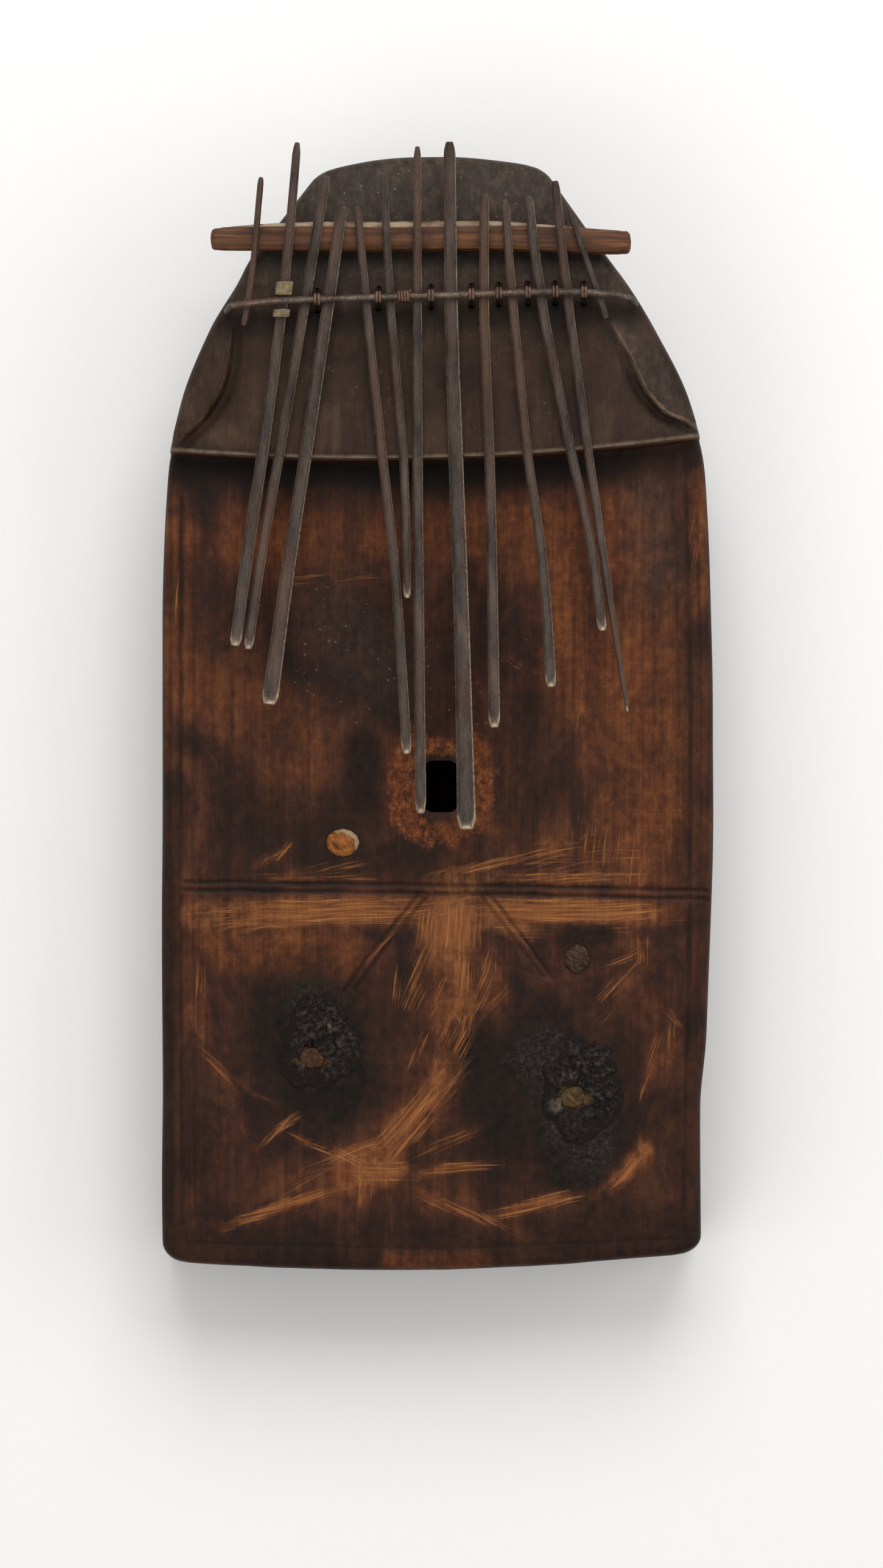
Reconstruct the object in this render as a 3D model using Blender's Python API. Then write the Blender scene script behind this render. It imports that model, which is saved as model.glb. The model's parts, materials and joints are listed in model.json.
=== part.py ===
# Bell-shaped thumb piano: a hollowed wooden body, iron tines held under a lashed iron bar,
# a wooden backrest stick, plugged buzzer holes ringed with wax, and repair pegs.
# It lies on its back: +Z leaves the soundboard, +Y runs to the head, +X to the right.
import math

import bmesh
import bpy
from mathutils import Vector

MM = 0.001

# Fit between touching pieces
CLEARANCE = 0.3 * MM

# Body: outline, as (distance along Y, edge in X), from the tail end to the head
LEFT_EDGE = [(-152, -75.2), (-60, -75.4), (25, -75.4), (65, -73.8), (85, -69.9), (105, -62.0), (118, -54.2),
             (123, -51.8), (135, -42.5), (153, -28.6)]
RIGHT_EDGE = [(-152, 72.4), (-108, 72.2), (-88, 73.9), (-20, 75.7), (25, 75.3), (65, 73.6), (85, 69.0),
              (105, 59.5), (118, 51.5), (123, 47.8), (135, 39.2), (153, 26.4)]
TAIL_END = -152.4 * MM
HEAD_END = 152.6 * MM
TAIL_CORNER = 6.0 * MM
TAIL_SLANT = 1.4 * MM
TAIL_BOW = 3.8 * MM
TAIL_FADE = 20.0 * MM
HEAD_CORNER = 3.0 * MM
HEAD_BOW = 3.6 * MM
HEAD_FADE = 16.0 * MM
HEAD_HALF_WIDTH = 29.5 * MM
EDGE_RADIUS = 3.2 * MM
HALF_WIDTH = 75.5 * MM

# Body: heights
SOUNDBOARD_TOP = 44.0 * MM
BLOCK_TOP = [(69, 53.0), (113, 51.4), (135, 49.6), (153, 46.4)]
BACK_RISE = [(-160, 0.0), (44, 0.0), (60, 3.4), (90, 19.0), (118, 29.0), (153, 31.0)]
CROWN = 1.2 * MM
LEDGE_Y = 69.8 * MM
LEDGE_SLANT = 2.1 * MM
LEDGE_BOW = 4.3 * MM
LEDGE_FADE = 28.0 * MM
LEDGE_LIP = 0.9 * MM
LIP_RISE = [(69, 2.4), (84, 2.0), (98, 1.0), (109, 0.0), (153, 0.0)]
LIP_STEP = 1.1 * MM
SHOULDER_RUN = 20.0 * MM
PANEL_DIP = [(69, 0.0), (74, 0.9), (84, 1.5), (98, 0.8), (109, 0.0)]
PANEL_DIP_RUN = 5.0 * MM
PANEL_POINTS = (0.0, 2.2, 5.0, 9.0, 16.0)
LEFT_LIP = [(71.5, -71.6), (73.1, -70.4), (79.6, -63.1), (84.6, -59.6), (88.4, -57.6), (95.6, -55.8),
            (109, -54.7)]
RIGHT_LIP = [(75.5, 71.6), (77.7, 70.2), (81.6, 61.6), (87.6, 56.2), (96.6, 52.1), (109, 45.4)]

# Resonator
CAVITY_END = 46.0 * MM
CAVITY_HALF_WIDTH = 65.0 * MM
FRONT_WALL = 5.0 * MM
BACK_WALL = 5.0 * MM
CAVITY_CORNER = 6.0 * MM
CAVITY_ROUND = 8.0 * MM
CAVITY_TAPER = 0.7
SLAT_THICK = 5.0 * MM
SLAT_SET_IN = 4.0 * MM
CUT_MARGIN = 10.0 * MM
SOUND_HOLE = (1.1 * MM, -19.9 * MM)
SOUND_HOLE_SIZE = (9.6 * MM, 14.2 * MM)
SOUND_HOLE_CORNER = 2.6 * MM

# Backrest stick, on the neck
STICK_PATH = [(-61.7, 129.2), (-30, 129.9), (5, 130.1), (35, 129.2), (52.9, 128.4)]
STICK_DEPTH = 8.3 * MM
STICK_HEIGHT = 5.6 * MM
STICK_TAPER = 0.72
STICK_EDGE = 1.8 * MM
STICK_RINGS = (0.0, 0.01, 0.03, 0.12, 0.25, 0.4, 0.55, 0.7, 0.85, 0.97, 0.99, 1.0)
STICK_ROUNDING = {0.0: 0.55, 0.01: 0.85, 0.99: 0.85, 1.0: 0.55}

# Iron bar over the tines, and its wire
BAR_PATH = [(-55.6, 110.9), (-46, 112.0), (-22, 113.0), (4, 113.8), (34, 114.7), (48, 114.0), (52.4, 112.9)]
BAR_RADIUS = 1.0 * MM
BAR_DROP = 5.6 * MM
BAR_TURN = 3.0 * MM
BAR_RINGS = (0.0, 0.03, 0.1, 0.2, 0.3, 0.4, 0.5, 0.6, 0.7, 0.8, 0.9, 0.97, 1.0)
BAR_BEND = ((0.25, -0.2, 0.25), (0.42, -0.35, 0.6), (0.5, -0.42, 1.0))
WIRE_RADIUS = 0.42 * MM
WIRE_HOLE_RADIUS = 1.0 * MM
LASHING_X = [-32.6, -15.9, -1.6, 9.4, 16.9, 24.8, 32.2, 40.0]
LASHING_REACH = 3.4 * MM
LOOP_BEND = ((0.18, 0.0), (0.56, -0.15), (1.0, -0.82))
LOOP_FOOT = ((1.0, 0.35), (0.8, 0.0))
WINDING_X = (-10.9, -7.3)
WINDING_TURNS = 2.5
TURN_POINTS = 12

# Tines: thickness, lift of the tongues in degrees and their upturned ends
TINE_THICK = 1.4 * MM
TINE_THIN = 0.25
TINE_LIFT = 3.0
TINE_UPTURN = 1.6 * MM
SPLIT_GAP = 0.3 * MM
TIP_CORNER = 0.35
BLADE_SECTION = ((-1, -0.5), (-0.6, -1), (0.6, -1), (1, -0.5), (1, 0.4), (0.6, 1), (-0.6, 1), (-1, 0.4))
ROOT_RINGS = (0, 0.25, 0.5, 0.75, 0.97, 1)
TONGUE_RINGS = (0, 0.15, 0.3, 0.45, 0.6, 0.75, 0.88, 0.97, 1)
STUB_RINGS = (0, 0.04, 0.3, 0.55, 0.8, 0.97, 1)

# Each tine: tail (X, Y), X under the bar, X at the ledge, middle (X, Y), tip (X, Y),
# and widths at the tail, the ledge and the tip
TINES = {
    "02": ((-37.9, 155.2), -41.9, -47.6, (-51.5, 43.8), (-54.9, 18.3), (2.0, 3.2, 3.1)),
    "03": ((-30.1, 146.1), -35.8, -43.1, (-47.9, 42.1), (-51.3, 17.4), (2.7, 2.8, 2.5)),
    "04": ((-25.8, 137.9), -29.4, -35.9, (-40.1, 42.1), (-45.6, 2.4), (3.0, 3.5, 4.5)),
    "05": ((-21.6, 137.9), -19.4, -14.8, (-11.3, 37.1), (-8.1, -11.1), (2.0, 2.6, 2.8)),
    "06": ((-14.6, 146.8), -12.8, -9.1, (-8.5, 52.1), (-8.1, 31.3), (2.0, 2.4, 2.0)),
    "07": ((-5.3, 154.1), -5.3, -5.3, (-5.0, 37.1), (-4.4, -27.3), (1.8, 2.8, 3.0)),
    "08": ((3.4, 155.4), 3.8, 5.1, (6.6, 28.8), (8.1, -31.6), (3.0, 4.0, 5.2)),
    "09": ((12.9, 141.3), 12.8, 14.3, (14.8, 52.1), (15.6, -3.9), (2.5, 2.8, 3.2)),
    "10": ((18.4, 139.8), 20.4, 24.6, (29.3, 35.4), (31.1, 7.1), (2.3, 2.5, 3.0)),
    "11": ((24.8, 140.8), 28.1, 36.4, (41.4, 48.8), (45.1, 22.4), (2.6, 2.6, 2.6)),
    "12": ((32.1, 144.8), 35.4, 41.1, (45.9, 38.8), (51.8, 0.4), (2.4, 2.4, 0.9)),
}
# Two outer tines broken off short: tail (X, Y), X under the bar, broken end (X, Y), width
STUBS = {
    "01": ((-47.8, 145.8), -51.3, (-52.6, 105.6), 1.7),
    "13": ((36.1, 136.7), 43.8, (46.2, 107.6), 1.7),
}

# Brass rings clasped round the second tine, one each side of the bar: start and end along Y
BRASS_RINGS = {"brass_sleeve": (113.7, 117.5), "brass_ring": (107.8, 110.0)}
BRASS_WALL = 0.5 * MM

# Soundboard pieces: plugs in the buzzer holes, wax round them, repair pegs
PLUGS = {"left": (-34.2, -94.3), "right": (37.1, -104.9)}
PLUG_RADIUS = 4.0 * MM
WAX = {"left": ((-32.0, -89.0), (13.4, 15.2)), "right": ((39.6, -102.0), (12.8, 16.4))}
WAX_HEIGHT = 2.4 * MM
WAX_INNER = 0.8 * MM
WAX_SECTION = ((0.0, 0.0), (0.0, 0.35), (0.22, 1.0), (0.62, 0.65), (1.0, 0.12), (1.0, 0.0))
WAX_RAGGED = ((0.09, 3, 1.0), (0.06, 7, 0.0))
WAX_LUMP = (0.2, 2, 0.6)
PEGS = {"upper": ((-25.8, -35.3), 4.0), "lower": ((38.4, -67.1), 3.6)}
PEG_PROUD = 0.8 * MM
PEG_HEAD = 0.8 * MM
PLUG_CHAMFER = 0.6 * MM
PLUG_SINK = 0.2 * MM
LEAD_IN = 1.0 * MM

# How finely round pieces are built
WAX_SIDES = 24
HOLE_SIDES = 12
WIRE_HOLE_SIDES = 8

# Places of the body's rings: in from the tail, along the box, up from the ledge, in from the head
TAIL_RINGS = (0.0, 0.8, 2.2, 4.2, 6.5)
BOX_RINGS = (-125, -108, -98, -88, -60, -20, 25, 45, 57, 64)
BLOCK_RINGS = (0.0, 1.5, 4.0, 7.5, 11.5, 16.0, 21.5, 28.0, 35.0, 43.0, 48.5, 53.2, 58.5, 65.0, 72.0)
HEAD_RINGS = (5.0, 2.6, 1.0, 0.0)


def through(points, at):
    """Value at a place on a smooth curve through (place, value) points, which never overshoots them."""
    if at <= points[0][0]:
        return points[0][1]
    if at >= points[-1][0]:
        return points[-1][1]
    steps = [(b[0] - a[0], (b[1] - a[1]) / (b[0] - a[0])) for a, b in zip(points, points[1:])]
    index = max(i for i in range(len(steps)) if points[i][0] <= at)

    def slope(i):
        if i in (0, len(steps)):
            return steps[min(i, len(steps) - 1)][1]
        (run, before), (next_run, after) = steps[i - 1], steps[i]
        if before * after <= 0:
            return 0.0
        near, far = 2 * next_run + run, next_run + 2 * run
        return (near + far) / (near / before + far / after)

    low, high = points[index][1], points[index + 1][1]
    span = steps[index][0]
    t = (at - points[index][0]) / span
    rise = low * (1 + 2 * t) * (1 - t) ** 2 + high * t * t * (3 - 2 * t)
    return rise + span * (slope(index) * t * (1 - t) ** 2 + slope(index + 1) * t * t * (t - 1))


def metres(points, at):
    """The same, for points in millimetres and a place in metres."""
    return through(points, at / MM) * MM


def material(name, colour, roughness, metallic=0.0):
    made = bpy.data.materials.new(name)
    made.use_nodes = True
    shader = made.node_tree.nodes["Principled BSDF"]
    shader.inputs["Base Color"].default_value = (*colour, 1.0)
    shader.inputs["Roughness"].default_value = roughness
    shader.inputs["Metallic"].default_value = metallic
    return made


def node(name, bm, look, origin=Vector((0, 0, 0))):
    """A named object from a mesh built in world places, with its origin moved to a chosen point."""
    bmesh.ops.recalc_face_normals(bm, faces=bm.faces)
    bmesh.ops.translate(bm, verts=bm.verts, vec=-origin)
    mesh = bpy.data.meshes.new(name)
    bm.to_mesh(mesh)
    bm.free()
    mesh.materials.append(look)
    mesh.shade_smooth()
    mesh.set_sharp_from_angle(angle=math.radians(35))
    made = bpy.data.objects.new(name, mesh)
    made.location = origin
    bpy.context.scene.collection.objects.link(made)
    return made


def cut(target, bm, name):
    """A Boolean cut by a hidden cutter."""
    cutter = node(name, bm, WOOD)
    cutter.hide_render = True
    cutter.display_type = "WIRE"
    modifier = target.modifiers.new(name, "BOOLEAN")
    modifier.operation = "DIFFERENCE"
    modifier.object = cutter


def skin(bm, rings, joined=False):
    """Quads between neighbouring rings of points, and from the last ring to the first if joined."""
    loops = [[bm.verts.new(point) for point in ring] for ring in rings]
    for index in range(0 if joined else 1, len(loops)):
        near, far = loops[index - 1], loops[index]
        for i in range(len(near)):
            bm.faces.new((near[i - 1], near[i], far[i], far[i - 1]))
    return loops


def loft(rings):
    """A closed solid through rings of points, with a face on each end."""
    bm = bmesh.new()
    loops = skin(bm, rings)
    bm.faces.new(loops[0])
    bm.faces.new(loops[-1])
    return bm


def prism(outline, bottom, top):
    return loft([[Vector((x, y, z)) for x, y in outline] for z in (bottom, top)])


def circle(centre, radius, sides):
    turns = [2 * math.pi * i / sides for i in range(sides)]
    return [(centre[0] + radius * math.cos(a), centre[1] + radius * math.sin(a)) for a in turns]


def rounded_box(centre, size, radius, steps=3):
    points = []
    for quarter, (sx, sy) in enumerate(((1, 1), (-1, 1), (-1, -1), (1, -1))):
        middle = (centre[0] + sx * (size[0] / 2 - radius), centre[1] + sy * (size[1] / 2 - radius))
        for step in range(steps + 1):
            angle = (quarter + step / steps) * math.pi / 2
            points.append((middle[0] + radius * math.cos(angle), middle[1] + radius * math.sin(angle)))
    return points


def tube(name, points, radius, look, closed=False, sides=2):
    """Round wire along a path, as a curve with a bevel."""
    curve = bpy.data.curves.new(name, "CURVE")
    curve.dimensions = "3D"
    curve.bevel_depth = radius
    curve.bevel_resolution = sides
    curve.use_fill_caps = not closed
    spline = curve.splines.new("POLY")
    spline.points.add(len(points) - 1)
    spline.use_cyclic_u = closed
    spline.use_smooth = True
    for place, point in zip(spline.points, points):
        place.co = (*point, 1.0)
    curve.materials.append(look)
    made = bpy.data.objects.new(name, curve)
    bpy.context.scene.collection.objects.link(made)
    return made


def bowed(x, slant, bow):
    """How far an edge that is slanted and bowed across the body lies past its middle."""
    across = x / HALF_WIDTH
    return slant * across + bow * across * across


def ledge_y(x):
    """The bowed front edge of the block, seen from above."""
    return LEDGE_Y + bowed(x, LEDGE_SLANT, LEDGE_BOW)


def inset(radius, depth):
    """How far a round corner has drawn in at this depth from the end."""
    left = max(radius - depth, 0.0)
    return radius - math.sqrt(radius * radius - left * left)


def block_height(x, y, lips):
    """Top of the block: a panel that dips beside its lips, and raised shoulders outside them."""
    left, right = lips
    beyond = max(left - x, x - right, 0.0)
    inside = max(min(x - left, right - x), 0.0)
    height = metres(BLOCK_TOP, y) - CROWN * (x / HALF_WIDTH) ** 2
    height -= metres(PANEL_DIP, y) * math.exp(-inside / PANEL_DIP_RUN)
    rise = (metres(LIP_RISE, y) + metres(PANEL_DIP, y)) * min(1.0, beyond / LIP_STEP)
    return height + rise * max(0.0, 1 - beyond / SHOULDER_RUN)


def rounded_edge(side, edge, face, upward):
    """Three points round an edge of the section, from the side wall to the face."""
    r = EDGE_RADIUS
    angles = [step * math.pi / 4 for step in range(3)]
    return [(edge - side * r * (1 - math.cos(a)), face - upward * r * (1 - math.sin(a))) for a in angles]


def body_section(station, bow, on_block, draw_in=0.0, end_round=0.0):
    """One ring of the body: flat back, rounded edges, sides and the carved front."""

    def place(x):
        return station + bow(x)

    def settle(points, start):
        x = start
        for _ in range(6):
            x = metres(points, place(x))
        return x

    left = settle(LEFT_EDGE, -HALF_WIDTH) + draw_in
    right = settle(RIGHT_EDGE, HALF_WIDTH) - draw_in
    rim = EDGE_RADIUS + LIP_STEP
    lips = (max(settle(LEFT_LIP, -HALF_WIDTH), left + rim), min(settle(RIGHT_LIP, HALF_WIDTH), right - rim))

    def top(x):
        if on_block:
            return block_height(x, place(x), lips) - end_round
        return SOUNDBOARD_TOP - CROWN * (x / HALF_WIDTH) ** 2 - end_round

    back = metres(BACK_RISE, station) + end_round
    ring = rounded_edge(-1, left, back, -1)
    ring += reversed(rounded_edge(1, right, back, -1))
    ring += rounded_edge(1, right, top(right - EDGE_RADIUS), 1)
    inner = [lips[1] - step * MM for step in PANEL_POINTS] + [(lips[0] + lips[1]) / 2]
    inner += [lips[0] + step * MM for step in reversed(PANEL_POINTS)]
    ring += [(x, top(x)) for x in [lips[1] + LIP_STEP] + inner + [lips[0] - LIP_STEP]]
    ring += reversed(rounded_edge(-1, left, top(left + EDGE_RADIUS), 1))
    return [Vector((x, place(x), z)) for x, z in ring]


def body_rings():
    """Rings of the body from the tail end to the head, each bowed like the edge it lies near."""

    def tail_bow(depth):
        share = 1 - depth / TAIL_FADE
        return lambda x: share * bowed(x, TAIL_SLANT, TAIL_BOW)

    def ledge_bow(distance):
        share = max(0.0, 1 - distance / LEDGE_FADE)
        return lambda x: share * (ledge_y(x) - LEDGE_Y)

    def head_bow(depth):
        share = 1 - depth / HEAD_FADE
        return lambda x: -share * HEAD_BOW * (x / HEAD_HALF_WIDTH) ** 2

    rings = []
    for depth in (value * MM for value in TAIL_RINGS):
        corner = inset(TAIL_CORNER, depth), inset(EDGE_RADIUS, depth)
        rings.append(body_section(TAIL_END + depth, tail_bow(depth), False, *corner))
    for y in (value * MM for value in BOX_RINGS):
        rings.append(body_section(y, ledge_bow(LEDGE_Y - y), False))
    rings.append(body_section(LEDGE_Y - LEDGE_LIP, ledge_bow(0.0), False))
    for rise in (value * MM for value in BLOCK_RINGS):
        rings.append(body_section(LEDGE_Y + rise, ledge_bow(rise), True))
    for depth in (value * MM for value in HEAD_RINGS):
        corner = inset(HEAD_CORNER, depth), inset(EDGE_RADIUS, depth)
        rings.append(body_section(HEAD_END - depth, head_bow(depth), True, *corner))
    return rings


def lashing_places():
    for x in LASHING_X:
        yield x * MM, metres(BAR_PATH, x * MM)


def cavity_outline(gap=0.0):
    """Section of the resonator, as (X, Z), drawn in by a gap."""
    centre = (SOUNDBOARD_TOP - FRONT_WALL + BACK_WALL) / 2
    size = (2 * (CAVITY_HALF_WIDTH - gap), SOUNDBOARD_TOP - FRONT_WALL - BACK_WALL - 2 * gap)
    return rounded_box((0.0, 0.0), size, CAVITY_CORNER - gap), centre


def make_body():
    body = node("sound_box", loft(body_rings()), WOOD)
    outline, middle = cavity_outline()
    runs = ((TAIL_END - CUT_MARGIN, 1.0), (CAVITY_END - 3 * CAVITY_ROUND, 1.0),
            (CAVITY_END - CAVITY_ROUND, (2 + CAVITY_TAPER) / 3), (CAVITY_END, CAVITY_TAPER))
    hollow = [[Vector((x * k, y, middle + z * k)) for x, z in outline] for y, k in runs]
    cut(body, loft(hollow), "resonator_cutter")
    above = SOUNDBOARD_TOP + CUT_MARGIN
    hole = rounded_box(SOUND_HOLE, SOUND_HOLE_SIZE, SOUND_HOLE_CORNER)
    cut(body, prism(hole, middle, above), "sound_hole_cutter")
    for index, (x, y) in enumerate(lashing_places()):
        for side in (-1, 1):
            ring = circle((x, y + side * LASHING_REACH), WIRE_HOLE_RADIUS, WIRE_HOLE_SIDES)
            cut(body, prism(ring, 0.0, above + CUT_MARGIN), f"wire_hole_cutter_{index}_{side}")
    for name, (x, y) in PLUGS.items():
        ring = circle((x * MM, y * MM), PLUG_RADIUS, HOLE_SIDES)
        cut(body, prism(ring, middle, above), f"buzzer_hole_cutter_{name}")
    for name, ((x, y), radius) in PEGS.items():
        ring = circle((x * MM, y * MM), radius * MM - PEG_HEAD, HOLE_SIDES)
        cut(body, prism(ring, middle, above), f"peg_hole_cutter_{name}")


def make_end_slat():
    """Wooden slat that closes the hollowed end, set in just behind its rim."""
    outline, middle = cavity_outline(CLEARANCE)
    places = (TAIL_END + SLAT_SET_IN, TAIL_END + SLAT_SET_IN + SLAT_THICK)
    node("end_slat", loft([[Vector((x, y, middle + z)) for x, z in outline] for y in places]), PALE_WOOD)


def stick_front():
    """Where the tines meet the stick: the front of its top."""
    return (max(y for _, y in STICK_PATH) * MM) - STICK_DEPTH / 2


def stick_bottom():
    """The stick lies on the neck, on its highest line."""
    return metres(BLOCK_TOP, (min(y for _, y in STICK_PATH) * MM) - STICK_DEPTH / 2) + CLEARANCE


def tine_slope():
    """Rise of the straight roots from the ledge to the stick."""
    return (stick_bottom() + STICK_HEIGHT - metres(BLOCK_TOP, LEDGE_Y)) / (stick_front() - LEDGE_Y)


def tine_underside(x, y):
    """Height of a straight root's underside, which rests on the ledge and on the stick."""
    ledge = ledge_y(x)
    return metres(BLOCK_TOP, ledge) + CLEARANCE + (y - ledge) * tine_slope()


def make_stick():
    """Round-edged stick that the tines' tails lie on, slimmer and rounded off towards its ends."""
    rings = []
    start, end = STICK_PATH[0][0], STICK_PATH[-1][0]
    for share in STICK_RINGS:
        x = (start + (end - start) * share) * MM
        slim = 1 - (1 - STICK_TAPER) * abs(2 * share - 1) ** 3
        slim *= STICK_ROUNDING.get(share, 1.0)
        middle = stick_bottom() + STICK_HEIGHT / 2
        shape = rounded_box((metres(STICK_PATH, x), middle), (STICK_DEPTH * slim, STICK_HEIGHT * slim),
                            STICK_EDGE * slim, 2)
        rings.append([Vector((x, y, z)) for y, z in shape])
    node("backrest_stick", loft(rings), STICK_WOOD)


def bar_height():
    """Centre of the bar, which rests on the tines at their highest point under it."""
    furthest = max(y for _, y in BAR_PATH) * MM
    return tine_underside(0.0, furthest) + TINE_THICK + CLEARANCE + BAR_RADIUS


def make_bar():
    """Iron bar across the tines, with both ends turned down towards the wood."""
    height = bar_height()
    left, right = BAR_PATH[0][0], BAR_PATH[-1][0]
    path = []
    for share in BAR_RINGS:
        x = (left + (right - left) * share) * MM
        path.append(Vector((x, metres(BAR_PATH, x), height)))
    down = [Vector((out * BAR_TURN, back * BAR_TURN, -drop * BAR_DROP)) for out, back, drop in BAR_BEND]
    first = [path[0] + Vector((-step.x, step.y, step.z)) for step in reversed(down)]
    tube("pressure_bar", first + path + [path[-1] + step for step in down], BAR_RADIUS, IRON)


def make_lashings():
    """Closed wire loops over the bar and down through the drilled holes to the back."""
    over = bar_height() + BAR_RADIUS + CLEARANCE + WIRE_RADIUS
    reach = LASHING_REACH
    for index, (x, y) in enumerate(lashing_places()):
        path = []
        for side in (1, -1):
            under = metres(BACK_RISE, y + side * reach) - CLEARANCE - 3 * WIRE_RADIUS
            bend = [(x, y + side * out * reach, over + up * reach) for out, up in LOOP_BEND]
            bend += [(x, y + side * out * reach, under + up * reach) for out, up in LOOP_FOOT]
            path += bend if side > 0 else reversed(bend)
        tube(f"wire_lashing_{index + 1}", path, WIRE_RADIUS, COPPER, closed=True)


def make_winding():
    """Wire wound round the bar in one unbroken helix."""
    start, end = (x * MM for x in WINDING_X)
    turn_radius = BAR_RADIUS + CLEARANCE + WIRE_RADIUS
    steps = round(WINDING_TURNS * TURN_POINTS)
    path = []
    for step in range(steps + 1):
        angle = 2 * math.pi * step / TURN_POINTS + math.pi
        x = start + (end - start) * step / steps
        y = metres(BAR_PATH, x) + turn_radius * math.cos(angle)
        path.append((x, y, bar_height() + turn_radius * math.sin(angle)))
    apart = TURN_POINTS // 2 + 1
    gap = min((Vector(a) - Vector(b)).length for i, a in enumerate(path) for b in path[i + apart:])
    print("least gap between turns of the winding, mm:", round((gap - 2 * WIRE_RADIUS) / MM, 2))
    tube("bar_winding", path, WIRE_RADIUS, COPPER)


def blade(stations):
    """A tine from stations of (centre, half width, half thickness): a flat strip with eased edges."""
    rings = []
    for index, (centre, half, thick) in enumerate(stations):
        before = stations[max(index - 1, 0)][0]
        after = stations[min(index + 1, len(stations) - 1)][0]
        along = (after - before).normalized()
        side = Vector((along.y, -along.x, 0)).normalized()
        up = side.cross(along)
        rings.append([centre + side * half * a + up * thick * b for a, b in BLADE_SECTION])
    return loft(rings)


def root_points(tail, bar_x, ledge_x, stop):
    """Places along a root from its tail to just past the ledge, in plan."""
    line = [(stop, ledge_x), (metres(BAR_PATH, bar_x * MM) / MM, bar_x), (tail[1], tail[0])]
    ys = [stop + (tail[1] - stop) * share for share in ROOT_RINGS]
    return [(through(line, y) * MM, y * MM) for y in ys]


def make_tines():
    for name, (tail, bar_x, ledge_x, middle, tip, widths) in TINES.items():
        ledge = ledge_y(ledge_x * MM)
        pivot = Vector((ledge_x * MM, ledge, tine_underside(ledge_x * MM, ledge) + TINE_THICK / 2))
        places = root_points(tail, bar_x, ledge_x, (ledge + SPLIT_GAP / 2) / MM)
        stations = []
        for index, (x, y) in enumerate(places):
            share = index / (len(places) - 1)
            half = (widths[1] + (widths[0] - widths[1]) * share) * MM / 2
            if index == len(places) - 1:
                half *= 1 - TIP_CORNER
            height = pivot.z + (y - ledge) * tine_slope()
            stations.append((Vector((x, y, height)), half, TINE_THICK / 2))
        node(f"tine_{name}_root", blade(stations), IRON, pivot)

        line = [(tip[1], tip[0]), (middle[1], middle[0]), (ledge / MM, ledge_x)]
        start = ledge - SPLIT_GAP / 2
        length = start - tip[1] * MM
        stations = []
        for share in TONGUE_RINGS:
            y = start - length * share
            half = (widths[1] + (widths[2] - widths[1]) * share ** 2) * MM / 2
            if share == 1:
                half *= 1 - TIP_CORNER
            rise = (ledge - y) * math.tan(math.radians(TINE_LIFT)) + TINE_UPTURN * share ** 3
            flat = TINE_THICK / 2 * (1 - TINE_THIN * share)
            stations.append((Vector((metres(line, y), y, pivot.z + rise)), half, flat))
        node(f"tine_{name}_tongue", blade(stations), IRON, pivot)


def make_stubs():
    for name, (tail, bar_x, end, width) in STUBS.items():
        line = [(end[1], end[0]), (metres(BAR_PATH, bar_x * MM) / MM, bar_x), (tail[1], tail[0])]
        stations = []
        for share in STUB_RINGS:
            y = end[1] + (tail[1] - end[1]) * share
            half = width * MM / 2 * (1 - TIP_CORNER if share in (0, 1) else 1)
            height = tine_underside(0.0, y * MM) + TINE_THICK / 2
            stations.append((Vector((through(line, y) * MM, y * MM, height)), half, TINE_THICK / 2))
        node(f"tine_{name}_stub", blade(stations), IRON)


def make_brass():
    """Thin brass strips folded round the second tine."""
    tail, bar_x, ledge_x = TINES["02"][:3]
    widths = TINES["02"][5]
    bar_y = metres(BAR_PATH, bar_x * MM) / MM
    line = [(ledge_y(ledge_x * MM) / MM, ledge_x), (bar_y, bar_x), (tail[1], tail[0])]
    for name, ends in BRASS_RINGS.items():
        inner = (widths[1] * MM + 2 * CLEARANCE, TINE_THICK + 2 * CLEARANCE)
        outer = (inner[0] + 2 * BRASS_WALL, inner[1] + 2 * BRASS_WALL)
        loops = []
        for size, order in ((outer, ends), (inner, ends[::-1])):
            for y in order:
                shape = rounded_box((0, 0), size, BRASS_WALL, 2)
                x = through(line, y) * MM
                height = tine_underside(ledge_x * MM, y * MM) + TINE_THICK / 2
                loops.append([Vector((x + a, y * MM, height + b)) for a, b in shape])
        ring_solid(name, loops, BRASS)


def ring_solid(name, loops, look):
    """A closed ring skinned round its own section."""
    bm = bmesh.new()
    skin(bm, loops, joined=True)
    return node(name, bm, look)


def make_wax():
    """Ragged rings of black wax round the buzzer holes, higher near the hole."""

    def wave(angle, size, times, turn):
        return size * math.sin(times * angle + turn)

    bottom = SOUNDBOARD_TOP + CLEARANCE
    for name, ((cx, cy), (rx, ry)) in WAX.items():
        hole = Vector(PLUGS[name]) * MM
        loops = []
        for share, up in WAX_SECTION:
            loop = []
            for i in range(WAX_SIDES):
                angle = 2 * math.pi * i / WAX_SIDES
                facing = Vector((math.cos(angle), math.sin(angle)))
                ragged = 1 + sum(wave(angle, *part) for part in WAX_RAGGED)
                near = hole + facing * (PLUG_RADIUS + WAX_INNER)
                rim = Vector((cx + rx * ragged * facing.x, cy + ry * ragged * facing.y)) * MM
                height = bottom + WAX_HEIGHT * up * (1 + wave(angle, *WAX_LUMP))
                loop.append(Vector((*near.lerp(rim, share), height)))
            loops.append(loop)
        ring_solid(f"wax_ring_{name}", loops, WAX_BLACK)


def turned(centre, profile, sides):
    """A round piece from (radius, height) points, bottom to top."""
    return loft([[Vector((x, y, z)) for x, y in circle(centre, radius, sides)] for radius, z in profile])


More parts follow.
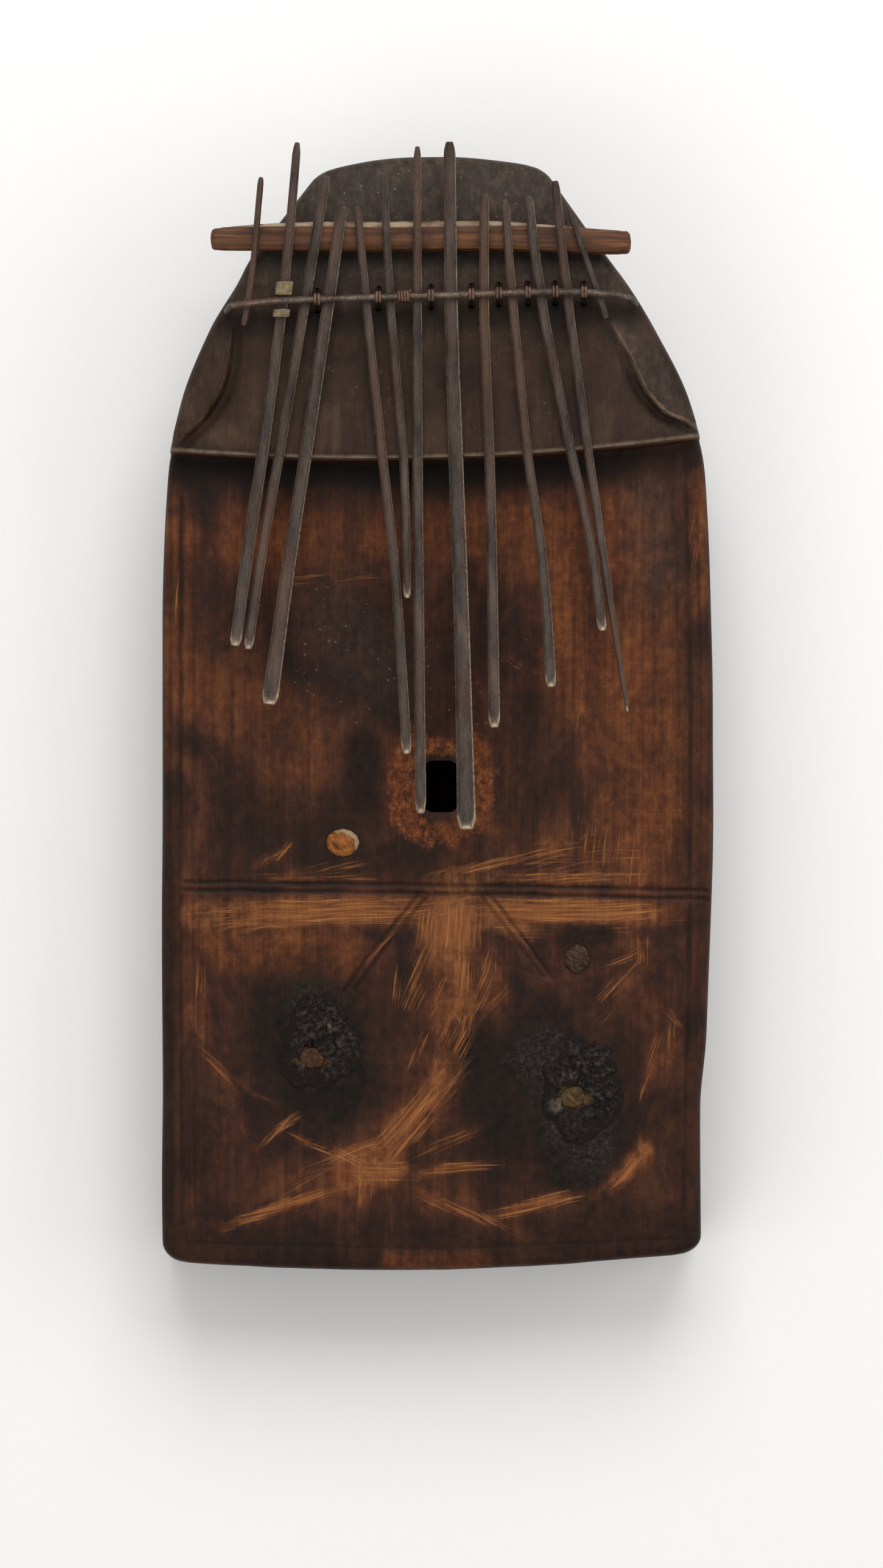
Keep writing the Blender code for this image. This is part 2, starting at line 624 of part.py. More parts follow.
def make_plugs_and_pegs():
    for name, (x, y) in PLUGS.items():
        radius = PLUG_RADIUS - CLEARANCE
        low = SOUNDBOARD_TOP - FRONT_WALL
        top = SOUNDBOARD_TOP - PLUG_SINK
        profile = ((radius - PLUG_SINK, low), (radius, low + LEAD_IN), (radius, top - PLUG_CHAMFER),
                   (radius - 2 * PLUG_CHAMFER, top))
        node(f"buzzer_plug_{name}", turned((x * MM, y * MM), profile, HOLE_SIDES), PALE_WOOD)
    for name, ((x, y), radius) in PEGS.items():
        shank = radius * MM - PEG_HEAD - CLEARANCE
        low = SOUNDBOARD_TOP - FRONT_WALL
        under = SOUNDBOARD_TOP + CLEARANCE
        profile = ((shank - PLUG_SINK, low), (shank, low + LEAD_IN), (shank, under), (radius * MM, under),
                   (radius * MM, under + PEG_PROUD / 2), (radius * MM - PLUG_CHAMFER, under + PEG_PROUD))
        node(f"repair_peg_{name}", turned((x * MM, y * MM), profile, HOLE_SIDES), PALE_WOOD)


for leftover in list(bpy.data.objects):
    bpy.data.objects.remove(leftover, do_unlink=True)

WOOD = material("body_wood", (0.045, 0.018, 0.010), 0.55)
STICK_WOOD = material("stick_wood", (0.19, 0.075, 0.026), 0.6)
PALE_WOOD = material("plug_wood", (0.24, 0.11, 0.04), 0.65)
IRON = material("iron", (0.10, 0.075, 0.058), 0.5, 0.8)
COPPER = material("wire", (0.26, 0.12, 0.06), 0.45, 0.9)
BRASS = material("brass", (0.42, 0.29, 0.11), 0.35, 1.0)
WAX_BLACK = material("wax", (0.008, 0.007, 0.007), 0.5)

make_body()
make_end_slat()
make_stick()
make_bar()
make_lashings()
make_winding()
make_tines()
make_stubs()
make_brass()
make_wax()
make_plugs_and_pegs()
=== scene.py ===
# Looks of the bell-shaped thumb piano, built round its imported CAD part.
# Places in the tables are millimetres in the part's frame: +X right, +Y to the head, +Z out of the soundboard.
import json
import math
from functools import partial
from types import SimpleNamespace

import bmesh
import bpy
import numpy as np
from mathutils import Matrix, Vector, noise

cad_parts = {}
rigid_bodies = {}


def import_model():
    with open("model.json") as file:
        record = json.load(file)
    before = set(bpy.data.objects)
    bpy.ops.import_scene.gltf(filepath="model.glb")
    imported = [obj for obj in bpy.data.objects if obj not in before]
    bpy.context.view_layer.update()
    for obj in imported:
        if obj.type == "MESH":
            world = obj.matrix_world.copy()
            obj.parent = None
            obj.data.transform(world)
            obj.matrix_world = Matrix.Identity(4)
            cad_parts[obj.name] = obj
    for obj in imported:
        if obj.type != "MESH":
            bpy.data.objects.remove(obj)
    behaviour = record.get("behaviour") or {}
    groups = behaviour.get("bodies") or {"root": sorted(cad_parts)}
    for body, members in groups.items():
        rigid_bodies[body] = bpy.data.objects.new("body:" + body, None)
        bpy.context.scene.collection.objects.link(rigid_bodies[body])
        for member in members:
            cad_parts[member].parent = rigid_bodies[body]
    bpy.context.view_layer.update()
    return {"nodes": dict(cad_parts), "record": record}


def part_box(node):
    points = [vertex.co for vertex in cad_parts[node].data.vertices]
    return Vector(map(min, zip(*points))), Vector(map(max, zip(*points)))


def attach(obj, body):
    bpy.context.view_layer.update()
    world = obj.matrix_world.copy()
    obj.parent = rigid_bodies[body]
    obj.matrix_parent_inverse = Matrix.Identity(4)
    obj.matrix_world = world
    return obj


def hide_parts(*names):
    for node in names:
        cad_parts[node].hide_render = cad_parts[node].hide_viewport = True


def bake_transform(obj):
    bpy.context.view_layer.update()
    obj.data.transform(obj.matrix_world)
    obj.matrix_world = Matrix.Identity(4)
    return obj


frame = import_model()
mm = 0.001
print("frame loaded:", len(frame["nodes"]), "CAD nodes")


def hexColor(code):
    channels = [int(code[i:i + 2], 16) / 255 for i in (1, 3, 5)]
    return [c / 12.92 if c <= 0.04045 else ((c + 0.055) / 1.055) ** 2.4 for c in channels] + [1.0]


def setInputs(tree, node, inputs):  # sockets are linked, hex codes become colours, other values are set
    for name, value in inputs.items() if isinstance(inputs, dict) else enumerate(inputs):
        if isinstance(value, bpy.types.NodeSocket):
            tree.links.new(value, node.inputs[name])
        else:
            node.inputs[name].default_value = hexColor(value) if isinstance(value, str) else value


def addNode(tree, kind, inputs=(), operation=None, out=0, stops=None, **settings):  # gives the output in use
    node = tree.nodes.new("ShaderNode" + kind)
    if operation:
        node.operation = operation
    for name, value in settings.items():
        setattr(node, name, value)
    setInputs(tree, node, inputs)
    if stops:
        elements = node.color_ramp.elements
        elements[0].position, elements[1].position = stops[0][0], stops[-1][0]
        elements[0].color, elements[1].color = hexColor(stops[0][1]), hexColor(stops[-1][1])
        for position, code in stops[1:-1]:
            elements.new(position).color = hexColor(code)
    return node.outputs[out]


def startMaterial(name, textures, masks=(), turn=0.0):  # texture: lump size, detail, roughness, distortion
    made = bpy.data.materials.new(name)
    made.use_nodes = True
    add = partial(addNode, made.node_tree)
    look = {mask: add("Attribute", out="Fac", attribute_name=mask) for mask in masks}
    look["place"] = add("TexCoord", out="Object")
    for texture, (size, detail, roughness, distortion) in textures.items():
        scale = [side * mm for side in size]
        spot = add("Mapping", {"Vector": look["place"], "Rotation": (0, 0, turn), "Scale": scale},
                   vector_type="TEXTURE")
        look[texture] = add("TexNoise", {"Vector": spot, "Scale": 1.0, "Detail": detail, "Roughness": roughness,
                                         "Distortion": distortion})
    return made, add, SimpleNamespace(**look)


def endMaterial(made, add, color, coats, height, strength, depth, surface):  # coats are (share, tone)
    for share, tone in coats:
        color = add("Mix", {0: share, 6: color, 7: tone}, out=2, data_type="RGBA")
    bump = add("Bump", {"Height": height, "Strength": strength, "Distance": depth * mm})
    tree = made.node_tree
    setInputs(tree, tree.nodes["Principled BSDF"], {"Base Color": color, "Normal": bump, **surface})
    return made


# Carved hardwood, oiled and handled for years: nearly black where it was singed, red-brown where hands rub it,
# orange where a blade or a fingernail scraped it. The grain runs to the head, and the scrapes are hair-thin.
# Shadows below the ledge, the bar and the stick, and shade in the scoops inside the lips, are painted in dark,
# and the pale lines on the lips and along the ledge are partly painted highlights.
woodTextures = {
    "grain": ((2.4, 75, 2.4), 5.0, 0.62, 0.35), "pores": ((0.4, 9, 0.4), 2.0, 0.5, 0.0),
    "clouds": ((15, 24, 15), 6.0, 0.62, 0.7), "fine": ((2.2, 3.0, 2.2), 6.0, 0.7, 0.0),
    "ripple": ((26, 2.4, 8), 4.0, 0.6, 1.6), "chips": ((4.6, 6.4, 4.6), 6.0, 0.66, 1.2),
    "crumbs": ((1.3, 1.3, 1.3), 6.0, 0.75, 0.8),
}
woodTones = {
    "oiled": [(0.38, "#1b0f0a"), (0.47, "#2c170e"), (0.53, "#3d2013"), (0.62, "#52301c")],
    "side": [(0.56, "#1c0f09"), (0.75, "#321b10"), (0.94, "#4b2a18")],
    "rubbed": [(0.36, "#432110"), (0.46, "#5e3219"), (0.58, "#7c4823")],
    "torn": [(0.36, "#42200f"), (0.5, "#69381c"), (0.66, "#87522e")],
    "bare": [(0.36, "#5c331a"), (0.46, "#7e4c2a"), (0.58, "#9a683c")],
    "hair": [(0.34, "#532c15"), (0.5, "#7f4b27"), (0.68, "#a36b3a")],
    "soot": [(0.35, "#0c0705"), (0.65, "#20160f")],
    "char": [(0.36, "#0b0807"), (0.48, "#1e1815"), (0.6, "#352d28"), (0.78, "#585046")],
    "block": [(0.38, "#261911"), (0.5, "#38271b"), (0.62, "#4b382a")],
    "head": [(0.34, "#2a221d"), (0.52, "#3b322b"), (0.7, "#564a40")],
    "paintedShadow": "#0d0805", "cutDirtAndShade": "#140a06", "wornAndLitEdge": "#6e5b4a", "dust": "#7d7264",
}
woodMasks = ("warmth", "soot", "cut", "worn", "block", "head", "side", "chipped", "shade", "dust", "bare",
             "char")
hairAngles = {"hairFlat": 3, "hairLow": 14, "hairRay": 25, "hairSlant": 48, "hairSteep": 66, "hairUpright": 85,
              "hairFall": -27, "hairDrop": -48}  # directions of the scrapes, in degrees


def carvedHardwood():
    made, add, look = startMaterial("carvedHardwood", woodTextures, woodMasks)
    mixed = rubShade = 0.0
    for value, weight in ((look.grain, 0.18), (look.clouds, 0.6), (look.fine, 0.22)):
        mixed = add("Math", [value, weight, mixed], "MULTIPLY_ADD")
    for value, weight in ((look.grain, 0.4), (look.ripple, 0.12), (look.fine, 0.4)):
        rubShade = add("Math", [value, weight, rubShade], "MULTIPLY_ADD")
    sideShade = add("Math", [look.fine, 0.5, look.grain], "MULTIPLY_ADD")
    # the shade mask is painted shadow: a dark band below the ledge, below the bar and below the stick
    weights = ((look.side, 0.75), (look.block, 0.92), (look.head, 0.85), (look.shade, 0.85))
    side, block, head, shadowShare = (add("Math", pair, "MULTIPLY") for pair in weights)

    # rubbed red-brown places, livelier where the clouds are pale
    lively = add("MapRange", [look.clouds, 0.36, 0.62, 0.45, 1.25])
    rubbed = add("Math", [look.warmth, lively], "MULTIPLY", use_clamp=True)

    # torn, chipped skin round the sound hole
    torn = add("Math", [look.chipped, 0.5, look.chips], "MULTIPLY_ADD")
    torn = add("MapRange", [torn, 0.72, 0.9])
    crackPlace = add("TexNoise", {"Vector": look.place, "Scale": 1 / (3 * mm), "Detail": 3.0}, out="Color")
    crackPlace = add("VectorMath", [crackPlace, (7 * mm,) * 3, look.place], "MULTIPLY_ADD")
    cracks = add("TexVoronoi", {"Vector": crackPlace, "Scale": 1 / (3.4 * mm)}, out="Distance",
                 feature="DISTANCE_TO_EDGE")
    cracks = add("MapRange", [cracks, 0.0, 0.14, 0.25])
    torn = add("Math", [torn, cracks], "MULTIPLY")

    # broad scrapes down to bare wood, with ragged edges
    bare = add("Math", [look.bare, 0.8, look.fine], "MULTIPLY_ADD")
    bare = add("MapRange", [bare, 0.45, 1.35, 0.0, 0.55])
    inside = add("MapRange", [look.bare, 0.02, 0.3])
    bare = add("Math", [bare, inside], "MULTIPLY")
    coats = [(side, sideShade, "side"), (rubbed, rubShade, "rubbed"), (torn, look.fine, "torn"),
             (bare, rubShade, "bare")]

    # scrapes: hairs in several directions, close together in the middle of a stroke and single at its edges
    bent = add("TexNoise", {"Vector": look.place, "Scale": 1 / (40 * mm), "Detail": 1.0}, out="Color")
    bent = add("VectorMath", {0: bent, 3: 6 * mm}, "SCALE")
    bent = add("VectorMath", [look.place, bent], "ADD")
    scraped = add("Math", [torn, bare], "MAXIMUM")
    for name, angle in hairAngles.items():
        mask = add("Attribute", out="Fac", attribute_name=name)
        spot = add("Mapping", {"Vector": bent, "Rotation": (0, 0, math.radians(angle)),
                               "Scale": (24 * mm, 0.75 * mm, 24 * mm)}, vector_type="TEXTURE")
        hair = add("TexNoise", {"Vector": spot, "Scale": 1.0, "Detail": 3.0, "Roughness": 0.8})
        stroke = add("Math", [mask, 0.34, hair], "MULTIPLY_ADD")
        stroke = add("MapRange", [stroke, 0.66, 0.86, 0.0, 0.78])
        inside = add("MapRange", [mask, 0.02, 0.4])
        stroke = add("Math", [stroke, inside], "MULTIPLY")
        scraped = add("Math", [scraped, stroke], "MAXIMUM")
        coats.append((stroke, hair, "hair"))

    # singed wood and old oil, with painted shadow in the strokes just below the ledge, and charred crumbs round
    # the buzzer holes
    sootAndShadeShare = add("MapRange", [look.clouds, 0.3, 0.62, 0.75, 1.25])
    sootAndShadeShare = add("Math", [sootAndShadeShare, look.soot], "MULTIPLY", use_clamp=True)
    sootAndShadeShare = add("Math", [sootAndShadeShare, scraped], "SUBTRACT", use_clamp=True)
    charred = add("Math", [look.char, 0.8, look.fine], "MULTIPLY_ADD")
    charred = add("MapRange", [charred, 0.7, 1.3, 0.0, 0.9])
    coats += [(sootAndShadeShare, look.fine, "soot"), (charred, look.crumbs, "char"), (block, mixed, "block"),
              (head, look.fine, "head")]
    color = add("ValToRGB", [mixed], stops=woodTones["oiled"])
    for share, shade, name in coats:
        tone = add("ValToRGB", [shade], stops=woodTones[name])
        color = add("Mix", {0: share, 6: color, 7: tone}, out=2, data_type="RGBA")

    # fine open grain, then painted shadow, dirt in the cut lines with painted shade in the lip scoops,
    # pale edges that are partly wear and partly a painted highlight, and specks of dust about 0.4 mm wide
    pored = add("MapRange", [look.pores, 0.32, 0.6, 0.86, 1.04])
    color = add("Mix", {0: 1.0, 6: color, 7: pored}, out=2, data_type="RGBA", blend_type="MULTIPLY")
    # the cut mask carries dirt in the cut lines and painted shade in the scoops inside the lips
    dirtAndShade = add("Math", [bare, -0.4, 0.92], "MULTIPLY_ADD")
    dirtAndShade = add("Math", [look.cut, dirtAndShade], "MULTIPLY")
    worn = add("Math", [look.worn, look.fine], "MULTIPLY")
    worn = add("MapRange", [worn, 0.1, 0.6])
    specks = add("TexVoronoi", {"Vector": look.place, "Scale": 1 / (2.6 * mm)}, out="Distance")
    specks = add("MapRange", [specks, 0.13, 0.06])
    specks = add("Math", [specks, look.dust], "MULTIPLY")

    dull = add("Math", [scraped, sootAndShadeShare], "MAXIMUM")
    rough = add("MapRange", [dull, 0.0, 1.0, 0.44, 0.62])
    rough = add("Math", [look.fine, 0.2, rough], "MULTIPLY_ADD")
    crumbly = add("Math", [look.crumbs, charred], "MULTIPLY")
    height = look.fine
    for value, weight in ((look.pores, 0.5), (scraped, -0.5), (look.grain, 0.5), (crumbly, 2.5)):
        height = add("Math", [value, weight, height], "MULTIPLY_ADD")
    coats = [(shadowShare, woodTones["paintedShadow"]), (dirtAndShade, woodTones["cutDirtAndShade"]), (worn, woodTones["wornAndLitEdge"]),
             (specks, woodTones["dust"])]
    return endMaterial(made, add, color, coats, height, 0.45, 0.22,
                       {"Roughness": rough, "Specular IOR Level": 0.14})


# Peeled and whittled branch wood, rubbed by the hand: orange-brown, with long grain, grime in the hollows
# and a paler line along its top, partly wear and partly a painted highlight.
def whittledBranch():
    textures = {"grain": ((34, 1.0, 1.0), 5.0, 0.6, 0.4), "stains": ((9, 5, 5), 5.0, 0.5, 0.0)}
    made, add, look = startMaterial("whittledBranch", textures, ["worn"])
    color = add("ValToRGB", [look.grain], stops=[(0.32, "#351c0e"), (0.5, "#523017"), (0.68, "#704524")])
    grime = add("MapRange", [look.stains, 0.5, 0.68, 0.0, 0.7])
    worn = add("Math", [look.worn, look.stains], "MULTIPLY")
    worn = add("MapRange", [worn, 0.3, 0.6])
    rough = add("MapRange", [look.stains, 0.0, 1.0, 0.45, 0.7])
    coats = [(grime, "#2e190c"), (worn, "#a08a70")]
    return endMaterial(made, add, color, coats, look.grain, 0.5, 0.2,
                       {"Roughness": rough, "Specular IOR Level": 0.3})


# Cut pegs and sawn board: short torn fibres with darker pores, dull, and paler on the rim, from wear and a
# painted highlight on the side towards the light.
def cutWood(name, dark, middle, pale, fibreMm, turn=0.9):
    made, add, look = startMaterial(name, {"fibres": (fibreMm, 5.0, 0.65, 0.6)}, ["worn"], turn)
    color = add("ValToRGB", [look.fibres], stops=[(0.34, dark), (0.5, middle), (0.68, pale)])
    worn = add("Math", [look.worn, look.fibres], "MULTIPLY")
    worn = add("MapRange", [worn, 0.15, 0.5])
    return endMaterial(made, add, color, [(worn, "#94805f")], look.fibres, 0.6, 0.2,
                       {"Roughness": 0.6, "Specular IOR Level": 0.14})


# Hand-forged iron: a thin brown-grey oxide skin over hammered metal, with rust in patches, bright rubbed tips
# where thumbs polish it, and pale edges and upward faces that are partly a painted highlight.
def forgedIron():
    textures = {"patches": ((3.4, 15, 3.4), 6.0, 0.65, 0.0), "grit": ((0.5, 1.1, 0.5), 4.0, 0.7, 0.0),
                "rust": ((9, 60, 9), 4.0, 0.5, 0.0)}
    made, add, look = startMaterial("forgedIron", textures, ["polish"])
    shade = add("Math", [look.grit, 0.4, look.patches], "MULTIPLY_ADD")
    color = add("ValToRGB", [shade], stops=[(0.5, "#291f1a"), (0.64, "#3a2f29"), (0.76, "#463b34"),
                                            (0.92, "#594537")])
    rust = add("MapRange", [look.rust, 0.45, 0.62, 0.0, 0.7])
    rustTone = add("Mix", {0: look.grit, 6: "#33231a", 7: "#6a4a38"}, out=2, data_type="RGBA")
    bright = add("Math", [look.polish, look.grit], "MULTIPLY")
    bright = add("MapRange", [bright, 0.12, 0.52])
    rough = add("MapRange", [bright, 0.0, 1.0, 0.5, 0.3])
    rough = add("Math", [look.grit, 0.18, rough], "MULTIPLY_ADD")
    metal = add("MapRange", [shade, 0.6, 0.95, 0.55, 0.3])
    coats = [(rust, rustTone), (bright, "#97866f")]
    return endMaterial(made, add, color, coats, shade, 0.5, 0.12, {"Roughness": rough, "Metallic": metal})


# Drawn copper wire gone dull, and old sheet brass: warm metal with brown tarnish in patches, and paler upward
# faces that are a painted highlight.
def tarnishedMetal(name, dark, middle, pale, patchMm, metallic):
    made, add, look = startMaterial(name, {"patches": ((patchMm,) * 3, 5.0, 0.65, 0.0)}, ["polish"])
    # the polish mask here is a painted highlight on upward faces
    rubbed = add("Math", [look.polish, 0.3, look.patches], "MULTIPLY_ADD")
    color = add("ValToRGB", [rubbed], stops=[(0.55, dark), (0.74, middle), (0.95, pale)])
    rough = add("MapRange", [look.patches, 0.3, 0.7, 0.58, 0.32])
    return endMaterial(made, add, color, [], look.patches, 0.35, 0.1,
                       {"Roughness": rough, "Metallic": metallic})


# Burnt resin and wax: black to warm grey crust, crinkled, with grey painted highlights on the high crumbs, more
# on the side towards the light. Its edge thins out into the singed wood.
def burntResin(name, patchTone):
    textures, masks = {"crumbs": ((1.1, 1.1, 1.1), 6.0, 0.75, 0.8)}, ("crumb", "chip", "patch", "gap", "thin")
    made, add, look = startMaterial(name, textures, masks)
    shade = add("Math", [look.crumb, 0.2, look.crumbs], "MULTIPLY_ADD")
    color = add("ValToRGB", [shade], stops=[(0.39, "#070504"), (0.51, "#1d1714"), (0.63, "#3a322d"),
                                            (0.8, "#60574f")])
    pale = add("Math", [look.chip, look.crumbs], "MULTIPLY")
    pale = add("MapRange", [pale, 0.28, 0.5, 0.0, 0.8])
    patchShade = add("Mix", {0: look.crumbs, 6: "#1a100a", 7: patchTone}, out=2, data_type="RGBA")
    # the gap mask paints near-black shade into the small holes in the crust
    coats = [(pale, "#756a5b"), (look.patch, patchShade), (look.gap, "#020101"), (look.thin, "#18110d")]
    return endMaterial(made, add, color, coats, look.crumbs, 0.9, 0.5,
                       {"Roughness": 0.66, "Specular IOR Level": 0.14})


# Matt painted board, the same pale tone all over.
def paleBoard():
    made, add, look = startMaterial("paleBoard", {"tooth": ((4, 4, 4), 3.0, 0.5, 0.0)})
    color = add("ValToRGB", [look.tooth], stops=[(0.2, "#f3f2f0"), (0.8, "#f4f3f1")])
    tree = made.node_tree
    setInputs(tree, tree.nodes["Principled BSDF"], {"Base Color": color, "Roughness": 0.9})
    return made


hardwood = carvedHardwood()
branchWood = whittledBranch()
iron = forgedIron()
copper = tarnishedMetal("dullCopperWire", "#261b15", "#573d30", "#7d5f4c", 1.2, 0.35)
brass = tarnishedMetal("oldSheetBrass", "#362b1d", "#61523b", "#8d7d60", 2.4, 0.45)
resins = {"left": burntResin("burntResinLeft", "#72492c"), "right": burntResin("burntResinRight", "#735932")}
pegWoods = {"upper": cutWood("splitPegWood", "#4f2a10", "#7c471b", "#9c6432", (1.0, 3.0, 1.0)),
            "lower": cutWood("darkPegWood", "#1a100a", "#352317", "#59412b", (0.7, 2.6, 0.7))}
plugWoods = {"left": cutWood("brownPlugWood", "#20130a", "#3d2716", "#5a3e27", (1.0, 2.0, 1.0)),
             "right": cutWood("yellowPlugWood", "#251a0e", "#47351e", "#644d2d", (1.0, 2.0, 1.0))}
slatWood = cutWood("sawnSlatWood", "#38230f", "#573620", "#734c2a", (26.0, 1.2, 1.2), turn=0.0)
print("materials ready")


def ease(value):  # from 0 to 1 with soft ends
    value = np.clip(value, 0.0, 1.0)
    return value * value * (3 - 2 * value)


def bell(value):  # 1 in the middle, falling off on both sides
    return np.exp(-value ** 2)


def farFrom(flat, spot=(0.0, 0.0)):
    return np.hypot(*(flat - np.array(spot)).T)


def lumps(places, size, seed=0.0):  # soft noise from -1 to 1, with lumps of that size (one number or three)
    return np.array([noise.noise(place) for place in (places / np.array(size) + seed).tolist()])


def followPath(flat, path):  # how far along a path each place is, how far to its side, and how far away
    nearest = np.full(len(flat), 1e9)
    along, across, run = np.zeros(len(flat)), np.zeros(len(flat)), 0.0
    for start, end in zip(np.array(path, float), np.array(path[1:], float)):
        step = end - start
        length = np.hypot(*step)
        share = np.clip((flat - start) @ step / length ** 2, 0, 1)
        away = flat - start - share[:, None] * step
        far = farFrom(away)
        closer = far < nearest
        side = np.sign(step[0] * away[:, 1] - step[1] * away[:, 0])
        along = np.where(closer, run + share * length, along)
        across = np.where(closer, side * far, across)
        nearest = np.minimum(nearest, far)
        run += length
    return along, across, nearest


def copyNode(*names):  # CAD meshes joined in one bmesh, with their doubles merged
    bm = bmesh.new()
    for name in names:
        bm.from_mesh(frame["nodes"][name].data)
    bmesh.ops.remove_doubles(bm, verts=bm.verts, dist=0.001 * mm)
    return bm


def boxMm(node):  # lowest and highest corner of a CAD node, in millimetres
    return [np.array(corner / mm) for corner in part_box(node)]


def toMesh(name, bm):
    mesh = bpy.data.meshes.new(name)
    bm.to_mesh(mesh)
    bm.free()
    return mesh


def addObject(name, data):
    added = bpy.data.objects.new(name, data)
    bpy.context.scene.collection.objects.link(added)
    return added


def bakeShape(source):  # bmesh of an object with its modifiers or its curve's bevel
    bpy.context.view_layer.update()
    bm = bmesh.new()
    bm.from_mesh(source.evaluated_get(bpy.context.evaluated_depsgraph_get()).to_mesh())
    return bm


def readMesh(bm):  # places in millimetres, normals, and the two vertices of each edge
    mesh = bpy.data.meshes.new("reading")
    bm.to_mesh(mesh)
    places, normals = np.empty(3 * len(mesh.vertices)), np.empty(3 * len(mesh.vertices))
    ends = np.empty(2 * len(mesh.edges), int)
    mesh.vertices.foreach_get("co", places)
    mesh.vertex_normals.foreach_get("vector", normals)
    mesh.edges.foreach_get("vertices", ends)
    bpy.data.meshes.remove(mesh)
    return places.reshape(-1, 3) / mm, normals.reshape(-1, 3), ends.reshape(-1, 2)


def moveVerts(bm, shift):  # shift in millimetres, one row for each vertex
    for vert, step in zip(bm.verts, (shift * mm).tolist()):
        vert.co += Vector(step)


def refine(bm, wanted, quads=False, passes=12):  # halves edges longer than wanted, a length or a function
    for _ in range(passes):
        places, _, ends = readMesh(bm)
        first, second = places[ends[:, 0]], places[ends[:, 1]]
        limit = wanted((first + second) / 2) if callable(wanted) else wanted
        tooLong = np.linalg.norm(first - second, axis=1) > limit
        if not tooLong.any():
            break
        bm.edges.ensure_lookup_table()
        bmesh.ops.subdivide_edges(bm, edges=[bm.edges[i] for i in np.flatnonzero(tooLong)], cuts=1,
                                  use_grid_fill=True, use_single_edge=True)
        if not quads:
            bmesh.ops.triangulate(bm, faces=[face for face in bm.faces if len(face.verts) > 3])


def softenEdges(bm, angle, times):  # rounds edges sharper than angle, as handling does
    for _ in range(times):
        bm.normal_update()
        sharp = {vert for edge in bm.edges if edge.calc_face_angle(0.0) > math.radians(angle)
                 for vert in edge.verts}
        bmesh.ops.smooth_vert(bm, verts=list(sharp), factor=0.5, use_axis_x=True, use_axis_y=True,
                              use_axis_z=True)


def startPiece(node, edge, angle=0, times=0):  # refined copy of a CAD node, with its places and normals
    bm = copyNode(node)
    refine(bm, edge)
    softenEdges(bm, angle, times)
    return bm, *readMesh(bm)[:2]


def finishPiece(name, bm, material, stands, body="sound_box", masks=None, sharp=50):
    mesh = toMesh(name, bm)
    for leftover in ("custom_normal", "sharp_edge", "sharp_face"):
        if leftover in mesh.attributes:
            mesh.attributes.remove(mesh.attributes[leftover])
    mesh.materials.clear()
    mesh.materials.append(material)
    mesh.shade_smooth()
    mesh.set_sharp_from_angle(angle=math.radians(sharp))
    for mask, values in masks.items():
        layer = mesh.attributes.new(mask, "FLOAT", "POINT")
        layer.data.foreach_set("value", values.astype(np.float32))
    piece = addObject(name, mesh)
    if body:
        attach(piece, body)
    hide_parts(*stands)
    return piece


# Carved body: two sheets of quads, front and back, joined by the sides
shape = {  # outlines as (Y, X), heights as (Y, Z)
    "leftEdge": [(-152, -75.2), (-60, -75.4), (25, -75.4), (65, -73.8), (85, -69.9), (105, -62.0), (118, -54.2),
                 (123, -51.8), (135, -42.5), (153, -28.6)],
    "rightEdge": [(-152, 72.4), (-108, 72.2), (-88, 73.9), (-20, 75.7), (25, 75.3), (65, 73.6), (85, 69.0),
                  (105, 59.5), (118, 51.5), (123, 47.8), (135, 39.2), (153, 26.4)],
    "blockTop": [(69, 53.0), (113, 51.4), (135, 49.6), (153, 46.4)],
    "backRise": [(-160, 0.0), (44, 0.0), (60, 3.4), (90, 19.0), (118, 29.0), (153, 31.0)],
    "leftLip": [(71.5, -71.6), (73.1, -70.4), (79.6, -63.1), (84.6, -59.6), (88.4, -57.6), (95.6, -55.8),
                (109, -54.7)],
    "rightLip": [(75.5, 71.6), (77.7, 70.2), (81.6, 61.6), (87.6, 56.2), (96.6, 52.1), (109, 45.4)],
    "lipRise": [(69, 2.4), (84, 2.0), (98, 1.0), (109, 0.0), (153, 0.0)],
    "panelDip": [(69, 0.0), (74, 0.9), (84, 1.5), (98, 0.8), (109, 0.0)],
    "tail": -152.4, "tailCorner": 6.0, "tailBow": (1.4, 3.8), "tailFade": 20.0,
    "head": 152.6, "headCorner": 3.0, "headBow": 3.6, "headFade": 16.0, "headHalf": 29.5,
    "ledge": 69.8, "ledgeBow": (2.1, 4.3), "ledgeFade": 28.0, "ledgeFoot": 0.9,
    "halfWidth": 75.5, "edgeRadius": 3.2, "soundboard": 44.0, "crown": 1.2,
    "dipRun": 5.0, "lipStep": 1.5, "shoulderRun": 20.0, "rowStep": 2.2, "columnStep": 2.0,
}
wire = {"radius": 0.42, "spread": 0.47, "barRadius": 1.0, "gap": 0.06, "turns": 4.5, "turnPoints": 12,
        "sides": 3, "weld": 0.002, "bends": (200, 160, 125, 90, 55, 20, -20), "straight": (3.2, 6.5),
        "turnUp": 1.2}
